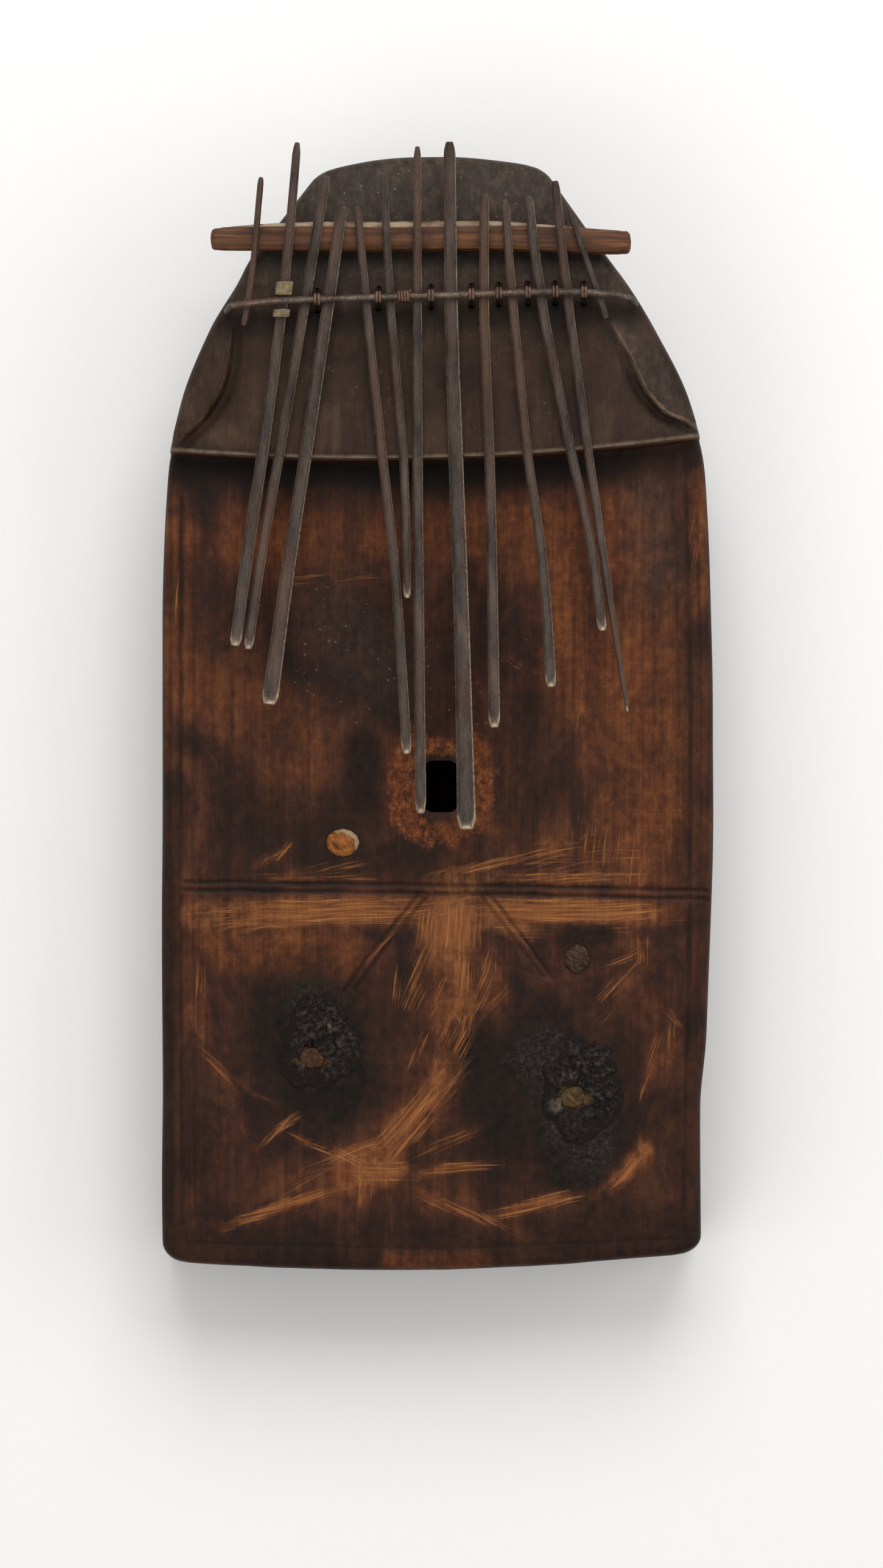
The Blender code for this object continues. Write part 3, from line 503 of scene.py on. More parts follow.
carving = {
    "frontAbove": 40.0,  # what lies higher is front
    "fineEdge": 0.55, "frontEdge": 3.2, "plainEdge": 12.0, "lipEdge": 0.6, "holeEdge": 0.9,
    "panelEdge": 1.7, "panelTop": -32.0, "lipNear": 3.0, "ledgeNear": 1.6,
    "waviness": 0.28, "waveSize": (22, 34, 22), "toolMarks": 0.1, "toolSize": (8, 26, 8),
    "backHollow": 0.35, "backSize": (14, 20, 14), "lipRidge": 0.35, "lipScoop": 0.5, "lipWearAndHighlight": (0.3, 0.9),
    "soundHole": (1.1, -19.9), "soundHoleSize": (9.6, 14.2), "soundHoleCorner": 2.6, "soundHoleNear": 11,
    "rimDip": 0.7, "rimReach": 0.3, "tornDip": 0.25, "tornReach": 2.6,
    "buzzerHoles": [(-34.2, -94.3), (37.1, -104.9)], "buzzerRadius": 4.1, "buzzerNear": 6,
    "bowl": 1.3, "bowlReach": 7.5, "holeLow": 30.0, "holeHigh": 60.0, "wireHoleHigh": 70.0,
    "pegHoles": [((-25.8, -35.3), 3.2), ((38.4, -67.1), 2.8)], "wireHole": 0.95, "wireIn": 0.8,
    "hollow": ((-65.0, -170.0, 5.0), (65.0, 45.0, 39.0)), "hollowCorner": 6.0,
}
knife = {"press": 0.45, "pressSize": 13.0, "wander": 0.3, "wanderSize": 9.0, "fullDepth": 0.5}  # cut lines
brush = {"wide": 0.3, "wideSize": 9.0, "small": 0.2, "smallSize": 3.0, "taper": 0.35,
         "thinning": {"bare": 0.3, **dict.fromkeys(hairAngles, 0.75)}}  # strokes with thin ends
cutLines = [  # path, width, depth
    ([(-69, -46.0), (-30, -46.6), (20, -47.2), (74, -48.5)], 1.25, 0.6),
    ([(-69, -48.3), (-30, -48.8), (20, -49.5), (74, -50.8)], 1.25, 0.6),
    ([(-2.4, -49.6), (-12, -61), (-22.6, -75.4)], 1.0, 0.5),
    ([(-5.2, -49.4), (-15, -61.6), (-25.6, -75.8)], 1.0, 0.5),
    ([(12.4, -50.2), (20, -60), (29.0, -71.8)], 1.0, 0.5),
    ([(15.0, -50.2), (23, -60.4), (31.8, -72.6)], 1.0, 0.5),
    ([(-72.9, 56), (-73.2, -20), (-72.7, -140)], 0.9, 0.3),
    ([(-70.1, 59), (-70.4, -40), (-69.7, -140)], 1.2, 0.45),
    ([(-66.4, 53), (-66.8, -30), (-66.2, -138)], 1.0, 0.3),
    ([(68.3, 61), (69.4, 0), (69.0, -60), (67.4, -136)], 1.2, 0.45),
    ([(71.2, 58), (72.4, 0), (72.0, -60)], 0.9, 0.3), ([(65.4, 50), (66.2, -10), (65.8, -44)], 0.9, 0.2),
    ([(-68, -145.0), (0, -146.6), (66, -143.8)], 1.0, 0.28),
]
stains = {  # strokes on the front: half width, strength, then X and Y of each point
    "hairFlat": [
        (3.2, 1.0, -66, -55.5, -35, -54.5, 6, -53), (2.2, 0.7, -26, -57, -6, -55),
        (1.6, 0.6, -62, -58.5, -30, -57), (2.6, 1.15, 4, -53.4, 40, -54, 66, -55),
        (2.4, 0.8, 14, -56, 28, -59.5), (4.5, 0.5, -4, -54, 13, -54), (2.0, 0.4, 20, -59, 62, -58),
        (1.2, 0.85, -9, -127.5, 4, -124.3, 20, -123), (2.2, 0.9, -24, -126, -6, -125),
        (1.6, 0.6, 10, -45, 62, -44.5), (1.0, 0.6, -60, -45.2, -30, -44.6, -8, -45),
        (1.0, 0.6, -30, -51.5, 30, -52), (3.5, 0.32, 12, -39, 60, -38), (0.7, 0.75, 46, -37.5, 60, -37.3),
        (0.8, 0.65, 40, -41, 58, -40), (2.0, 0.4, -50, 36, -5, 38)],
    "hairLow": [
        (1.3, 0.7, -10, -45, 19, -40.5, 44, -38), (1.0, 0.55, 10, -42, 44, -34.5),
        (1.6, 0.9, 12.8, -138.8, 29, -133.5, 44, -131), (1.3, 1.0, -23, -129, -41, -134.3, -59, -141),
        (2.2, 0.6, -12, -117.5, -27, -121.6, -41, -126), (1.6, 0.5, -66, -60, -40, -57),
        (5.0, 0.3, 15, -47, 60, -37), (1.1, 0.55, -42, -43.4, -12, -40), (1.2, 0.5, 16, -138.5, 36, -133.5),
        (2.0, 0.4, -66, -52, -30, -58)],
    "hairRay": [
        (1.0, 0.5, -30, -130, -56, -142), (1.4, 0.55, 44, -71, 59, -63.4), (1.3, 0.6, -8, -121.5, 14, -113),
        (2.2, 0.6, -12, -116, -36, -124), (4.0, 0.3, -18, -124, -46, -135),
        (1.2, 0.7, -36, -108.5, -46, -115.5), (0.8, 0.6, -50, -42.6, -40, -36.6),
        (1.0, 0.4, -10, -112, 10, -104), (1.0, 0.5, -52, -138, -30, -129)],
    "hairSlant": [
        (3.4, 0.95, 6, -98, -4, -108, -17, -124), (1.6, 0.88, 46, -130, 52, -125.5, 57.5, -118),
        (1.0, 0.75, -39, -34.5, -46, -41), (1.1, 0.6, -44, -38, -53, -43), (4.0, 0.6, 10, -92, -2, -106),
        (1.8, 0.42, 60, -63, 46, -82), (3.0, 0.22, 57, -70, 40, -88), (4.0, 0.4, 20, -70, 5, -90),
        (0.9, 0.65, -36, -108, -52, -121), (0.8, 0.6, -24, -74, -3.5, -50.5), (0.8, 0.6, 38, -33, 52, -21),
        (0.7, 0.5, 36, -36, 50, -29), (1.2, 0.6, 43, -80, 50, -72.5)],
    "hairSteep": [
        (5.0, 0.36, 8, -66, 7, -80, 5, -94, -3, -106), (3.0, 0.5, 14, -68, 10, -84),
        (2.2, 0.85, 9, -84, 4, -96), (1.2, 0.8, -3.5, -64, -8.5, -80), (0.9, 0.8, 5.2, -79.8, -0.4, -90),
        (0.9, 0.7, 3, -68, -2, -86), (3.0, 0.55, -5, -70, -9, -84), (2.5, 0.4, 62, -84, 58, -100),
        (5.0, 0.5, 0, -60, -4, -72), (1.0, 0.6, 60.5, -92, 54.5, -108), (1.4, 0.6, 16, -62, 9, -80),
        (1.4, 0.5, -2, -84, -9, -100)],
    "hairUpright": [
        (7.0, 1.0, 4, -51, 4, -66), (1.8, 0.8, 6.5, -64, 8, -80), (2.2, 0.8, 8, -80, 8.5, -90),
        (4.0, 0.4, 8, -66, 8, -80), (1.6, 0.6, -19, -126, -21, -137), (2.2, 0.5, 56, -58, 57, -72),
        (1.6, 0.4, 63, -80, 64, -95), (1.8, 0.45, -65, -62, -64, -90), (6.0, 0.42, 30, -30, 62, -42),
        (3.0, 0.35, 45, -45, 62, -43), (9.0, 0.25, 40, 10, 50, -30), (1.0, 0.65, -66, -70, -64.5, -80),
        (1.1, 0.6, -67.3, -80, -64, -91), (1.2, 0.6, -12, -66, -10.5, -83), (1.5, 0.5, -71.5, 44, -71, 20),
        (1.2, 0.55, 70.3, 62, 70.6, 36), (1.0, 0.5, 16, -66, 17.5, -75)],
    "hairFall": [
        (1.1, 0.85, -10.5, -128.7, -1, -133.5, 7.7, -136.5, 21, -142), (1.0, 0.7, -44, -113, -25, -123),
        (2.0, 0.5, -30, -119, -16, -125), (2.5, 0.25, 2, -131, 30, -146), (0.8, 0.5, 16, 17.5, 30, 7),
        (0.9, 0.5, -56, -100, -40, -110)],
    "hairDrop": [
        (1.1, 0.6, -66, -90.5, -55, -102.5), (1.2, 0.5, 53, -114, 60, -123), (3.0, 0.3, -1, -75, 12, -92),
        (0.8, 0.55, 14, -50.5, 31, -73), (1.2, 0.6, 62.5, -80, 67, -88)],
    "bare": [
        (6.0, 1.0, 5, -50.5, 4.5, -58), (5.0, 0.7, 2, -58, 1, -65), (3.0, 0.25, 6.5, -64, 8, -80, 8.5, -88),
        (3.0, 0.55, 4, -96, -5.5, -107.5, -10, -114, -17, -123), (3.0, 0.65, -66, -55.5, -35, -54.6, -2, -54),
        (2.3, 0.9, 14, -53.4, 40, -53.8, 60, -55), (2.4, 0.75, 15, -56, 25, -59.5),
        (3.0, 0.9, -20, -125.5, -11, -124.5), (1.2, 0.45, -23.5, -129, -41.3, -134.2, -59, -140.9),
        (2.0, 0.4, -12, -117.5, -27, -121.6), (1.2, 0.5, -9.3, -127.5, 4, -124.3),
        (1.3, 0.45, 12.8, -138.8, 29.2, -133.4, 44, -131), (1.8, 0.7, 47.4, -129.7, 52, -125, 57, -119),
        (1.5, 0.4, 8, -44.4, 62, -45), (2.5, 0.35, 28, -39, 36, -35)],
    "chipped": [
        (3.5, 1.0, -6.5, -7, -9.2, -14, -8.6, -28), (3.0, 0.85, -7, -30.5, -2, -33, 3, -33),
        (2.6, 1.0, 4, -33, 10, -30), (3.2, 1.0, 9.5, -9, 12.5, -18, 12, -27), (2.4, 0.85, -3, -8.5, 7, -8.5)],
    "char": [
        (7.5, 1.0, 29, -93, 36, -106, 41, -119), (7.0, 1.0, -34, -81, -31, -95)],
    "dusty": [
        (3.5, 0.6, 49, 109, 59, 93, 68, 79), (8.0, 0.25, -28, 26, -12, 10), (6.0, 0.3, 57, 58, 60, 36),
        (3.0, 0.2, -60, 100, -68, 84)],
    "dust": [
        (11.0, 0.6, -38, 26, -10, 4), (7.0, 0.5, -4, 22, 6, 2), (7.0, 0.35, 22, 22, 44, 6),
        (12.0, 0.3, -30, 92, 30, 92), (6.0, 0.7, -24, 142, 24, 142), (3.0, 0.8, 40, 135, 10, 139)],
    # painted shadow: dark bands below the ledge, below the bar and below the stick
    "shade": [
        (3.6, 1.0, -73, 69.0, -40, 66.2, 0, 65.0, 44, 67.8), (3.0, 0.75, 40, 67.4, 73, 72.0),
        (4.0, 0.3, -60, 61, 0, 60, 40, 62), (3.0, 0.8, -56, 106.5, 0, 107.5, 54, 110),
        (1.6, 0.7, -56, 123.6, 50, 124)],
    "warmth": [
        (5.0, 0.65, 5, -52, 4, -70, 6, -85, 4, -97, -6, -110, -17, -123),
        (3.2, 0.75, -66, -55, -5, -53, 62, -54), (4.0, 1.0, -25, -127, -13, -124),
        (2.6, 0.9, 48, -127, 56, -121), (4.3, 0.7, -70, 50, -69, 2), (7.5, 0.85, -52, 50, -3, 51, 46, 53),
        (8.7, 0.55, 52, 45, 58, 34), (12.0, 0.82, 50, 12, 60, -15, 60, -38), (7.7, 0.5, -36, -3, -41, -21),
        (8.0, 0.4, -70, 5, -46, 0), (8.3, 0.45, 35, 27, 49, 15), (5.5, 1.0, 18, 42, 44, 40),
        (5.5, 0.85, 33, 36, 38, 5), (3.5, 0.5, 65, 30, 66, 10), (2.7, 0.7, 71, 62, 71, 29),
        (3.0, 0.4, -13, -10, -13, -31), (2.5, 0.8, -12, -149.5, 12, -150), (6.7, 0.35, 19, -11, 22, -28),
        (4.5, 0.4, -70, -51, -69, -80), (6.0, 0.95, -58, -63, -28, -66), (5.0, 0.3, 61, -80, 65, -98),
        (6.0, 0.35, -3, -45, 57, -38), (5.5, 0.25, -40, -129, 4, -128)],
    # singed wood; the two strokes just below the ledge, at Y 57 to 67, are painted shadow
    "soot": [
        (13.5, 1.0, -35, -86, -31, -100), (13.0, 1.0, 29, -95, 36, -106, 38, -117),
        (8.3, 0.85, 12, -92, 20, -116), (15.0, 0.36, -26, 27, -16, 14, -3, 7), (5.0, 0.75, -20, -9, -20, -24),
        (2.8, 0.75, 36, -61, 46, -60.5), (3.0, 0.5, 41, -66, 52, -68), (5.7, 0.5, -70, -146, -20, -147),
        (5.0, 0.45, -16, -143, 16, -146), (7.0, 0.55, 30, -145, 70, -140), (2.5, 0.6, -74, -46, -74, -146),
        (4.5, 0.45, -67, -97, -66, -124), (4.5, 0.3, 61, -106, 64, -128), (7.7, 0.5, -50, -25, -23, -29),
        (7.3, 0.5, 25, -1, 24, -21), (2.0, 0.4, 69, 22, 70, -38), (4.0, 0.5, -70, 67, -3, 64, 50, 67),
        (6.0, 0.35, -45, 62, -13, 57), (4.0, 0.6, -30, -40, -3, -40), (2.7, 0.5, 17, -45, 30, -41),
        (4.0, 0.5, -10, -70, -13, -85), (2.4, 0.4, 1, -69, 1.5, -74), (1.4, 0.4, 9.6, -67, 9.6, -74),
        (5.0, 0.35, 44, -78, 49, -91)],
}
lipPaths = [[(x, y) for y, x in shape[name]] for name in ("leftLip", "rightLip")]


def curveThrough(points, at):  # smooth curve through (place, value) points that never overshoots them
    knots, values = np.array(points, float).T
    runs = np.diff(knots)
    rises = np.diff(values) / runs
    near, far = 2 * runs[1:] + runs[:-1], runs[1:] + 2 * runs[:-1]
    even = rises[:-1] * rises[1:] > 0
    before, after = np.where(even, rises[:-1], 1.0), np.where(even, rises[1:], 1.0)
    inner = np.where(even, (near + far) / (near / before + far / after), 0.0)
    slopes = np.concatenate([rises[:1], inner, rises[-1:]])
    at = np.clip(at, knots[0], knots[-1])
    i = np.clip(np.searchsorted(knots, at, "right") - 1, 0, len(runs) - 1)
    t = (at - knots[i]) / runs[i]
    curve = values[i] * (1 + 2 * t) * (1 - t) ** 2 + values[i + 1] * t * t * (3 - 2 * t)
    return curve + runs[i] * (slopes[i] * t * (1 - t) ** 2 + slopes[i + 1] * t * t * (t - 1))


def bowed(x, slant, bow):
    across = x / shape["halfWidth"]
    return slant * across + bow * across * across


def ledgePlace(x):  # Y of the ledge's edge at X
    return shape["ledge"] + bowed(x, *shape["ledgeBow"])


def crowned(x):  # how far the front falls towards the sides
    return shape["crown"] * (x / shape["halfWidth"]) ** 2


def drawIn(radius, depth):  # how far a round corner has drawn in at this depth
    left = np.maximum(radius - depth, 0.0)
    return radius - np.sqrt(radius * radius - left * left)


def blockHeight(x, y):  # panel that dips beside its lips, with raised shoulders outside them
    left, right = curveThrough(shape["leftLip"], y), curveThrough(shape["rightLip"], y)
    beyond = np.maximum(np.maximum(left - x, x - right), 0.0)
    inside = np.maximum(np.minimum(x - left, right - x), 0.0)
    dip = curveThrough(shape["panelDip"], y)
    step = ease(beyond / shape["lipStep"]) * np.maximum(0.0, 1 - beyond / shape["shoulderRun"])
    height = curveThrough(shape["blockTop"], y) - dip * np.exp(-inside / shape["dipRun"])
    return height + (curveThrough(shape["lipRise"], y) + dip) * step


def bodyRows():  # stations along the body, from the tail to the head, and whether each is on the block
    tail, ledge, head, step = shape["tail"], shape["ledge"], shape["head"], shape["rowStep"]
    rounding = np.array([0.0, 0.25, 0.7, 1.4, 2.4, 3.6, 5.0])
    foot = [ledge - 2.2, ledge - shape["ledgeFoot"]]
    low = np.concatenate([tail + rounding, np.arange(tail + 7, ledge - 3, step), foot])
    brow = [ledge, ledge + 0.7, ledge + 1.8]
    high = np.concatenate([brow, np.arange(ledge + 3.4, head - 6, step), head - rounding[5::-1]])
    return np.concatenate([low, high]), np.concatenate([0 * low, 0 * high + 1])


def bodySheet(isFront):  # places of one sheet, row by row
    stations, onBlock = (row[:, None] for row in bodyRows())
    radius = shape["edgeRadius"]
    turn = np.radians([0, 18, 36, 54, 72])
    flatPart = np.linspace(0, 1, round(2 * shape["halfWidth"] / shape["columnStep"]))
    tailDepth, headDepth = stations - shape["tail"], shape["head"] - stations
    tailShare = np.clip(1 - tailDepth / shape["tailFade"], 0, 1)
    headShare = np.clip(1 - headDepth / shape["headFade"], 0, 1)
    ledgeShare = np.clip(1 - np.abs(stations - shape["ledge"]) / shape["ledgeFade"], 0, 1)
    corner = drawIn(shape["tailCorner"], tailDepth) + drawIn(shape["headCorner"], headDepth)
    endRound = drawIn(radius, tailDepth) + drawIn(radius, headDepth)

    def along(x):
        y = stations + tailShare * bowed(x, *shape["tailBow"]) + ledgeShare * bowed(x, *shape["ledgeBow"])
        return y - headShare * shape["headBow"] * (x / shape["headHalf"]) ** 2

    left, right = -shape["halfWidth"] + 0 * stations, shape["halfWidth"] + 0 * stations
    for _ in range(6):  # the outline and the bowed rows depend on each other
        left = curveThrough(shape["leftEdge"], along(left))
        right = curveThrough(shape["rightEdge"], along(right))
    left, right = left + corner, right - corner
    inner = left + radius + (right - left - 2 * radius) * flatPart
    x = np.hstack([left + radius * (1 - np.cos(turn)), inner, right - radius * (1 - np.cos(turn[::-1]))])
    drop = radius * (1 - np.sin(np.concatenate([turn, np.full(len(flatPart), np.pi / 2), turn[::-1]])))
    if isFront:
        flatX = np.clip(x, left + radius, right - radius)
        height = np.where(onBlock > 0, blockHeight(flatX, along(flatX)), shape["soundboard"])
        z = height - crowned(flatX) - endRound - drop
    else:
        z = curveThrough(shape["backRise"], stations) + endRound + drop
    return np.stack([x, along(x), z + 0 * x], axis=2)


def addSheet(bm, places):
    rows, columns = places.shape[:2]
    grid = bmesh.ops.create_grid(bm, x_segments=columns - 1, y_segments=rows - 1, size=0.5)["verts"]
    for vert in grid:
        column, row = round((vert.co.x + 0.5) * (columns - 1)), round((vert.co.y + 0.5) * (rows - 1))
        vert.co = places[row, column] * mm


def bodyEdges(places):  # wanted edge length at each place of the body
    flat, front = places[:, :2], places[:, 2] > carving["frontAbove"]
    offLedge = np.abs(flat[:, 1] - ledgePlace(flat[:, 0]))
    holes = [(spot, "buzzerNear") for spot in carving["buzzerHoles"]]
    holes.append((carving["soundHole"], "soundHoleNear"))
    wanted = np.where(front, carving["frontEdge"], carving["plainEdge"])
    finer = [(flat[:, 1] < carving["panelTop"], "panelEdge")]
    finer += [(followPath(flat, path)[2] < 1.2 * width, "fineEdge") for path, width, depth in cutLines]
    finer += [(followPath(flat, path)[2] < carving["lipNear"], "lipEdge") for path in lipPaths]
    finer += [(offLedge < carving["ledgeNear"], "lipEdge")]
    finer += [(farFrom(flat, spot) < carving[near], "holeEdge") for spot, near in holes]
    for near, edge in finer:
        wanted = np.where(front & near, carving[edge], wanted)
    return wanted


def cutAway(mesh, cutters):  # Boolean cuts, one after the other, by closed shapes in bmeshes
    target = addObject("uncut", mesh)
    tools = []
    for bm in cutters:
        bmesh.ops.recalc_face_normals(bm, faces=bm.faces)
        tools.append(addObject("cutter", toMesh("cutter", bm)))
        cut = target.modifiers.new("cut", "BOOLEAN")
        cut.operation, cut.solver, cut.object = "DIFFERENCE", "MANIFOLD", tools[-1]
    result = bakeShape(target)
    for used in [target] + tools:
        bpy.data.objects.remove(used, do_unlink=True)
    return result


def boxCutter(bm, low, high, corner, axis):  # box with round edges along one axis
    cube = bmesh.ops.create_cube(bm, size=1.0)["verts"]
    middle, size = (np.array(low) + high) / 2 * mm, (np.array(high) - low) * mm
    bmesh.ops.scale(bm, vec=size, verts=cube)
    bmesh.ops.translate(bm, vec=middle, verts=cube)
    edges = {edge for vert in cube for edge in vert.link_edges
             if abs(edge.verts[0].co[axis] - edge.verts[1].co[axis]) > 0.5 * size[axis]}
    bmesh.ops.bevel(bm, geom=list(edges), offset=corner * mm, offset_type="OFFSET", affect="EDGES", segments=4,
                    profile=0.5, material=-1)


def bodyCutters():
    hollow, holes = bmesh.new(), bmesh.new()
    boxCutter(hollow, *carving["hollow"], carving["hollowCorner"], axis=1)
    half, low, high = np.array(carving["soundHoleSize"]) / 2, carving["holeLow"], carving["holeHigh"]
    boxCutter(holes, (*(carving["soundHole"] - half), low), (*(carving["soundHole"] + half), high),
              carving["soundHoleCorner"], axis=2)
    rounds = [(spot, carving["buzzerRadius"], low, high) for spot in carving["buzzerHoles"]]
    rounds += [(spot, radius, low, high) for spot, radius in carving["pegHoles"]]
    inward = wire["radius"] + carving["wireIn"]
    for number in range(1, 9):
        near, far = boxMm(f"wire_lashing_{number}")
        for y in (near[1] + inward, far[1] - inward):
            rounds.append((((near[0] + far[0]) / 2, y), carving["wireHole"], 0.0, carving["wireHoleHigh"]))
    for spot, radius, low, high in rounds:
        drill = bmesh.ops.create_cone(holes, cap_ends=True, segments=20, radius1=radius * mm,
                                      radius2=radius * mm, depth=(high - low) * mm)["verts"]
        bmesh.ops.translate(holes, vec=(spot[0] * mm, spot[1] * mm, (low + high) / 2 * mm), verts=drill)
    return hollow, holes


def paint(flat, strokes, thinning):  # how strongly each place is stained
    mask = np.zeros(len(flat))
    spread = np.column_stack([flat, 0 * flat[:, 0]])
    ragged = brush["wide"] * lumps(spread, brush["wideSize"])
    ragged += brush["small"] * lumps(spread, brush["smallSize"])
    for halfWidth, strength, *spots in strokes:
        path = list(zip(spots[::2], spots[1::2]))
        along, _, far = followPath(flat, path)
        length = sum(math.dist(*ends) for ends in zip(path, path[1:]))
        toEnd = np.minimum(along, length - along) / length + 0.2 * ragged
        fade = 1 - thinning * (1 - ease(toEnd / brush["taper"]))
        mask = np.maximum(mask, strength * fade * ease(1.25 - (far / halfWidth + ragged) / 1.6))
    return mask


def grooveShape(flat, number, path, width):  # 1 in the middle of a cut line, with an unsteady hand
    along, across, far = followPath(flat, path)
    run = np.column_stack([along, 0 * along, 0 * along])
    pressed = 0.8 + knife["press"] * lumps(run, knife["pressSize"], number + 20)
    across = across + knife["wander"] * lumps(run, knife["wanderSize"], number)
    return pressed * bell(across / (0.5 * width)) * (far < 2 * width)


def lipShape(flat, path):  # thin ridge on the shoulder, and the scoop inside it
    along, across, _ = followPath(flat, path)
    side = across * (1 if path[0][0] < 0 else -1)
    fade = ease(along / 3) * ease((np.max(along) - along) / 8)
    return bell((side - 0.9) / 0.7) * fade, bell((side + 1.2) / 1.3) * fade


def woodWaves(places):  # long waves and tool marks of the carved surface
    waves = carving["waviness"] * lumps(places, carving["waveSize"])
    return waves + carving["toolMarks"] * lumps(places, carving["toolSize"], 5.0)


def carveFront(places, normals):  # how far each vertex moves, in millimetres
    flat, high, up = places[:, :2], places[:, 2], normals[:, 2]
    front = ease((up - 0.5) / 0.3) * (high > carving["frontAbove"])
    waves = woodWaves(places)
    waves -= carving["backHollow"] * (up < -0.5) * (1 + lumps(places, carving["backSize"], 9.0)) / 2
    waves = np.where((up < -0.9) & (high < 1), np.minimum(waves, 0.0), waves)  # lets the flat back rise only
    shift = normals * waves[:, None]
    for number, (path, width, depth) in enumerate(cutLines):
        shift[:, 2] -= depth * front * grooveShape(flat, number, path, width)
    for path in lipPaths:
        ridge, scoop = lipShape(flat, path)
        shift[:, 2] += front * (carving["lipRidge"] * ridge - carving["lipScoop"] * scoop)
    for spot in carving["buzzerHoles"]:
        shift[:, 2] -= carving["bowl"] * front * bell(farFrom(flat, spot) / carving["bowlReach"])
    fromHole = farFrom((flat - carving["soundHole"]) / (np.array(carving["soundHoleSize"]) / 2))  # 1 at its rim
    torn = carving["tornReach"] + 0.5 * lumps(places, 4.0, 3.0) - fromHole
    shift[:, 2] -= carving["rimDip"] * front * bell((fromHole - 1) / carving["rimReach"])
    shift[:, 2] -= carving["tornDip"] * front * ease(torn)
    return shift


def bodyMasks(places, normals):
    flat, high, up = places[:, :2], places[:, 2], normals[:, 2]
    front = ease((up - 0.3) / 0.3) * (high > carving["frontAbove"])
    cut, worn = np.zeros(len(places)), np.zeros(len(places))
    for number, (path, width, depth) in enumerate(cutLines):
        groove = front * grooveShape(flat, number, path, width)
        cut = np.maximum(cut, groove * min(1.0, depth / knife["fullDepth"]))
    # pale ridges along the lips, wear and a painted highlight, stronger on the right lip; the scoops inside
    # them are painted dark as shade
    for path, rubbed in zip(lipPaths, carving["lipWearAndHighlight"]):
        ridge, scoop = lipShape(flat, path)
        worn, cut = np.maximum(worn, rubbed * ridge), np.maximum(cut, 0.6 * scoop)
    offLedge = flat[:, 1] - ledgePlace(flat[:, 0])
    # a pale line along the ledge's edge: wear and a painted highlight
    worn = np.maximum(worn, (high > 48) * bell((offLedge - 0.2) / 0.75))
    rounded = ease((up - 0.2) / 0.3) * ease((0.95 - up) / 0.15)
    outline = np.abs(flat[:, 0]) > 60 - 0.9 * np.maximum(flat[:, 1] - 80, 0)
    worn = np.maximum(worn, 0.12 * rounded * outline * (high > 38))
    masks = {"cut": np.clip(cut, 0, 1), "worn": worn, "block": ease((offLedge + 0.4) / 1.2),
             "head": ease((flat[:, 1] - 104) / 26), "side": ease((0.7 - np.abs(up)) / 0.4)}
    for name, strokes in stains.items():
        masks[name] = paint(flat, strokes, brush["thinning"].get(name, 0.0)) * front
    for name in hairAngles:
        masks["warmth"] = np.maximum(masks["warmth"], 0.6 * masks[name])
    masks["head"] = np.maximum(masks["head"], masks.pop("dusty"))
    return masks


def settleBlock(bm):  # puts the refined vertices of the block back on its smooth surface
    x, y, z = readMesh(bm)[0].T
    toSide = np.minimum(x - curveThrough(shape["leftEdge"], y), curveThrough(shape["rightEdge"], y) - x)
    onTop = (toSide > shape["edgeRadius"]) & (z > carving["frontAbove"])
    onTop &= (y > ledgePlace(x) + 0.3) & (y < shape["head"] - 2 * shape["edgeRadius"])
    height = blockHeight(x, y) - crowned(x)
    moveVerts(bm, np.column_stack([0 * x, 0 * x, np.where(onTop, height - z, 0.0)]))


def makeBody():
    bm = bmesh.new()
    for isFront in (True, False):
        addSheet(bm, bodySheet(isFront))
    bmesh.ops.bridge_loops(bm, edges=[edge for edge in bm.edges if edge.is_boundary])
    bmesh.ops.recalc_face_normals(bm, faces=bm.faces)
    refine(bm, bodyEdges, quads=True)
    settleBlock(bm)
    softenEdges(bm, 40, 1)
    moveVerts(bm, carveFront(*readMesh(bm)[:2]))
    bm = cutAway(toMesh("uncutBody", bm), bodyCutters())
    bmesh.ops.triangulate(bm, faces=bm.faces)
    print("body:", len(bm.faces), "triangles, open edges:", sum(not edge.is_manifold for edge in bm.edges))
    masks = bodyMasks(*readMesh(bm)[:2])
    finishPiece("carvedBody", bm, hardwood, ["sound_box"], masks=masks, sharp=60)


makeBody()


# Tines: each is one forged strip, bent over the ledge, that follows its root and its tongue
forging = {"edge": 0.95, "tipEdge": 0.5, "tipNear": 9, "crown": 0.3, "plainAt": 113.0, "plainReach": 7.0,
           "hammer": 0.022, "hammerSize": (3.0, 7.0, 3.0), "wander": 0.06, "wanderSize": 30.0, "pit": 0.012,
           "pitSize": 0.9, "tipReach": 6.0, "stubReach": 2.0, "stubPolish": 0.2, "dish": 0.3, "bend": 16.0}
joints = {joint["name"]: joint for joint in frame["record"]["behaviour"]["joints"]}


def acrossStrip(x, y):  # how far each place is from the strip's middle line, and the strip's half width there
    at = (y - y.min()) / 1.5
    bins = np.round(at).astype(int)
    low, high = np.full(bins.max() + 1, np.inf), np.full(bins.max() + 1, -np.inf)
    np.minimum.at(low, bins, x)
    np.maximum.at(high, bins, x)
    known = np.flatnonzero(high >= low)
    middle, half = (np.interp(at, known, sums[known] / 2) for sums in (low + high, high - low))
    return x - middle, np.maximum(half, 0.3)


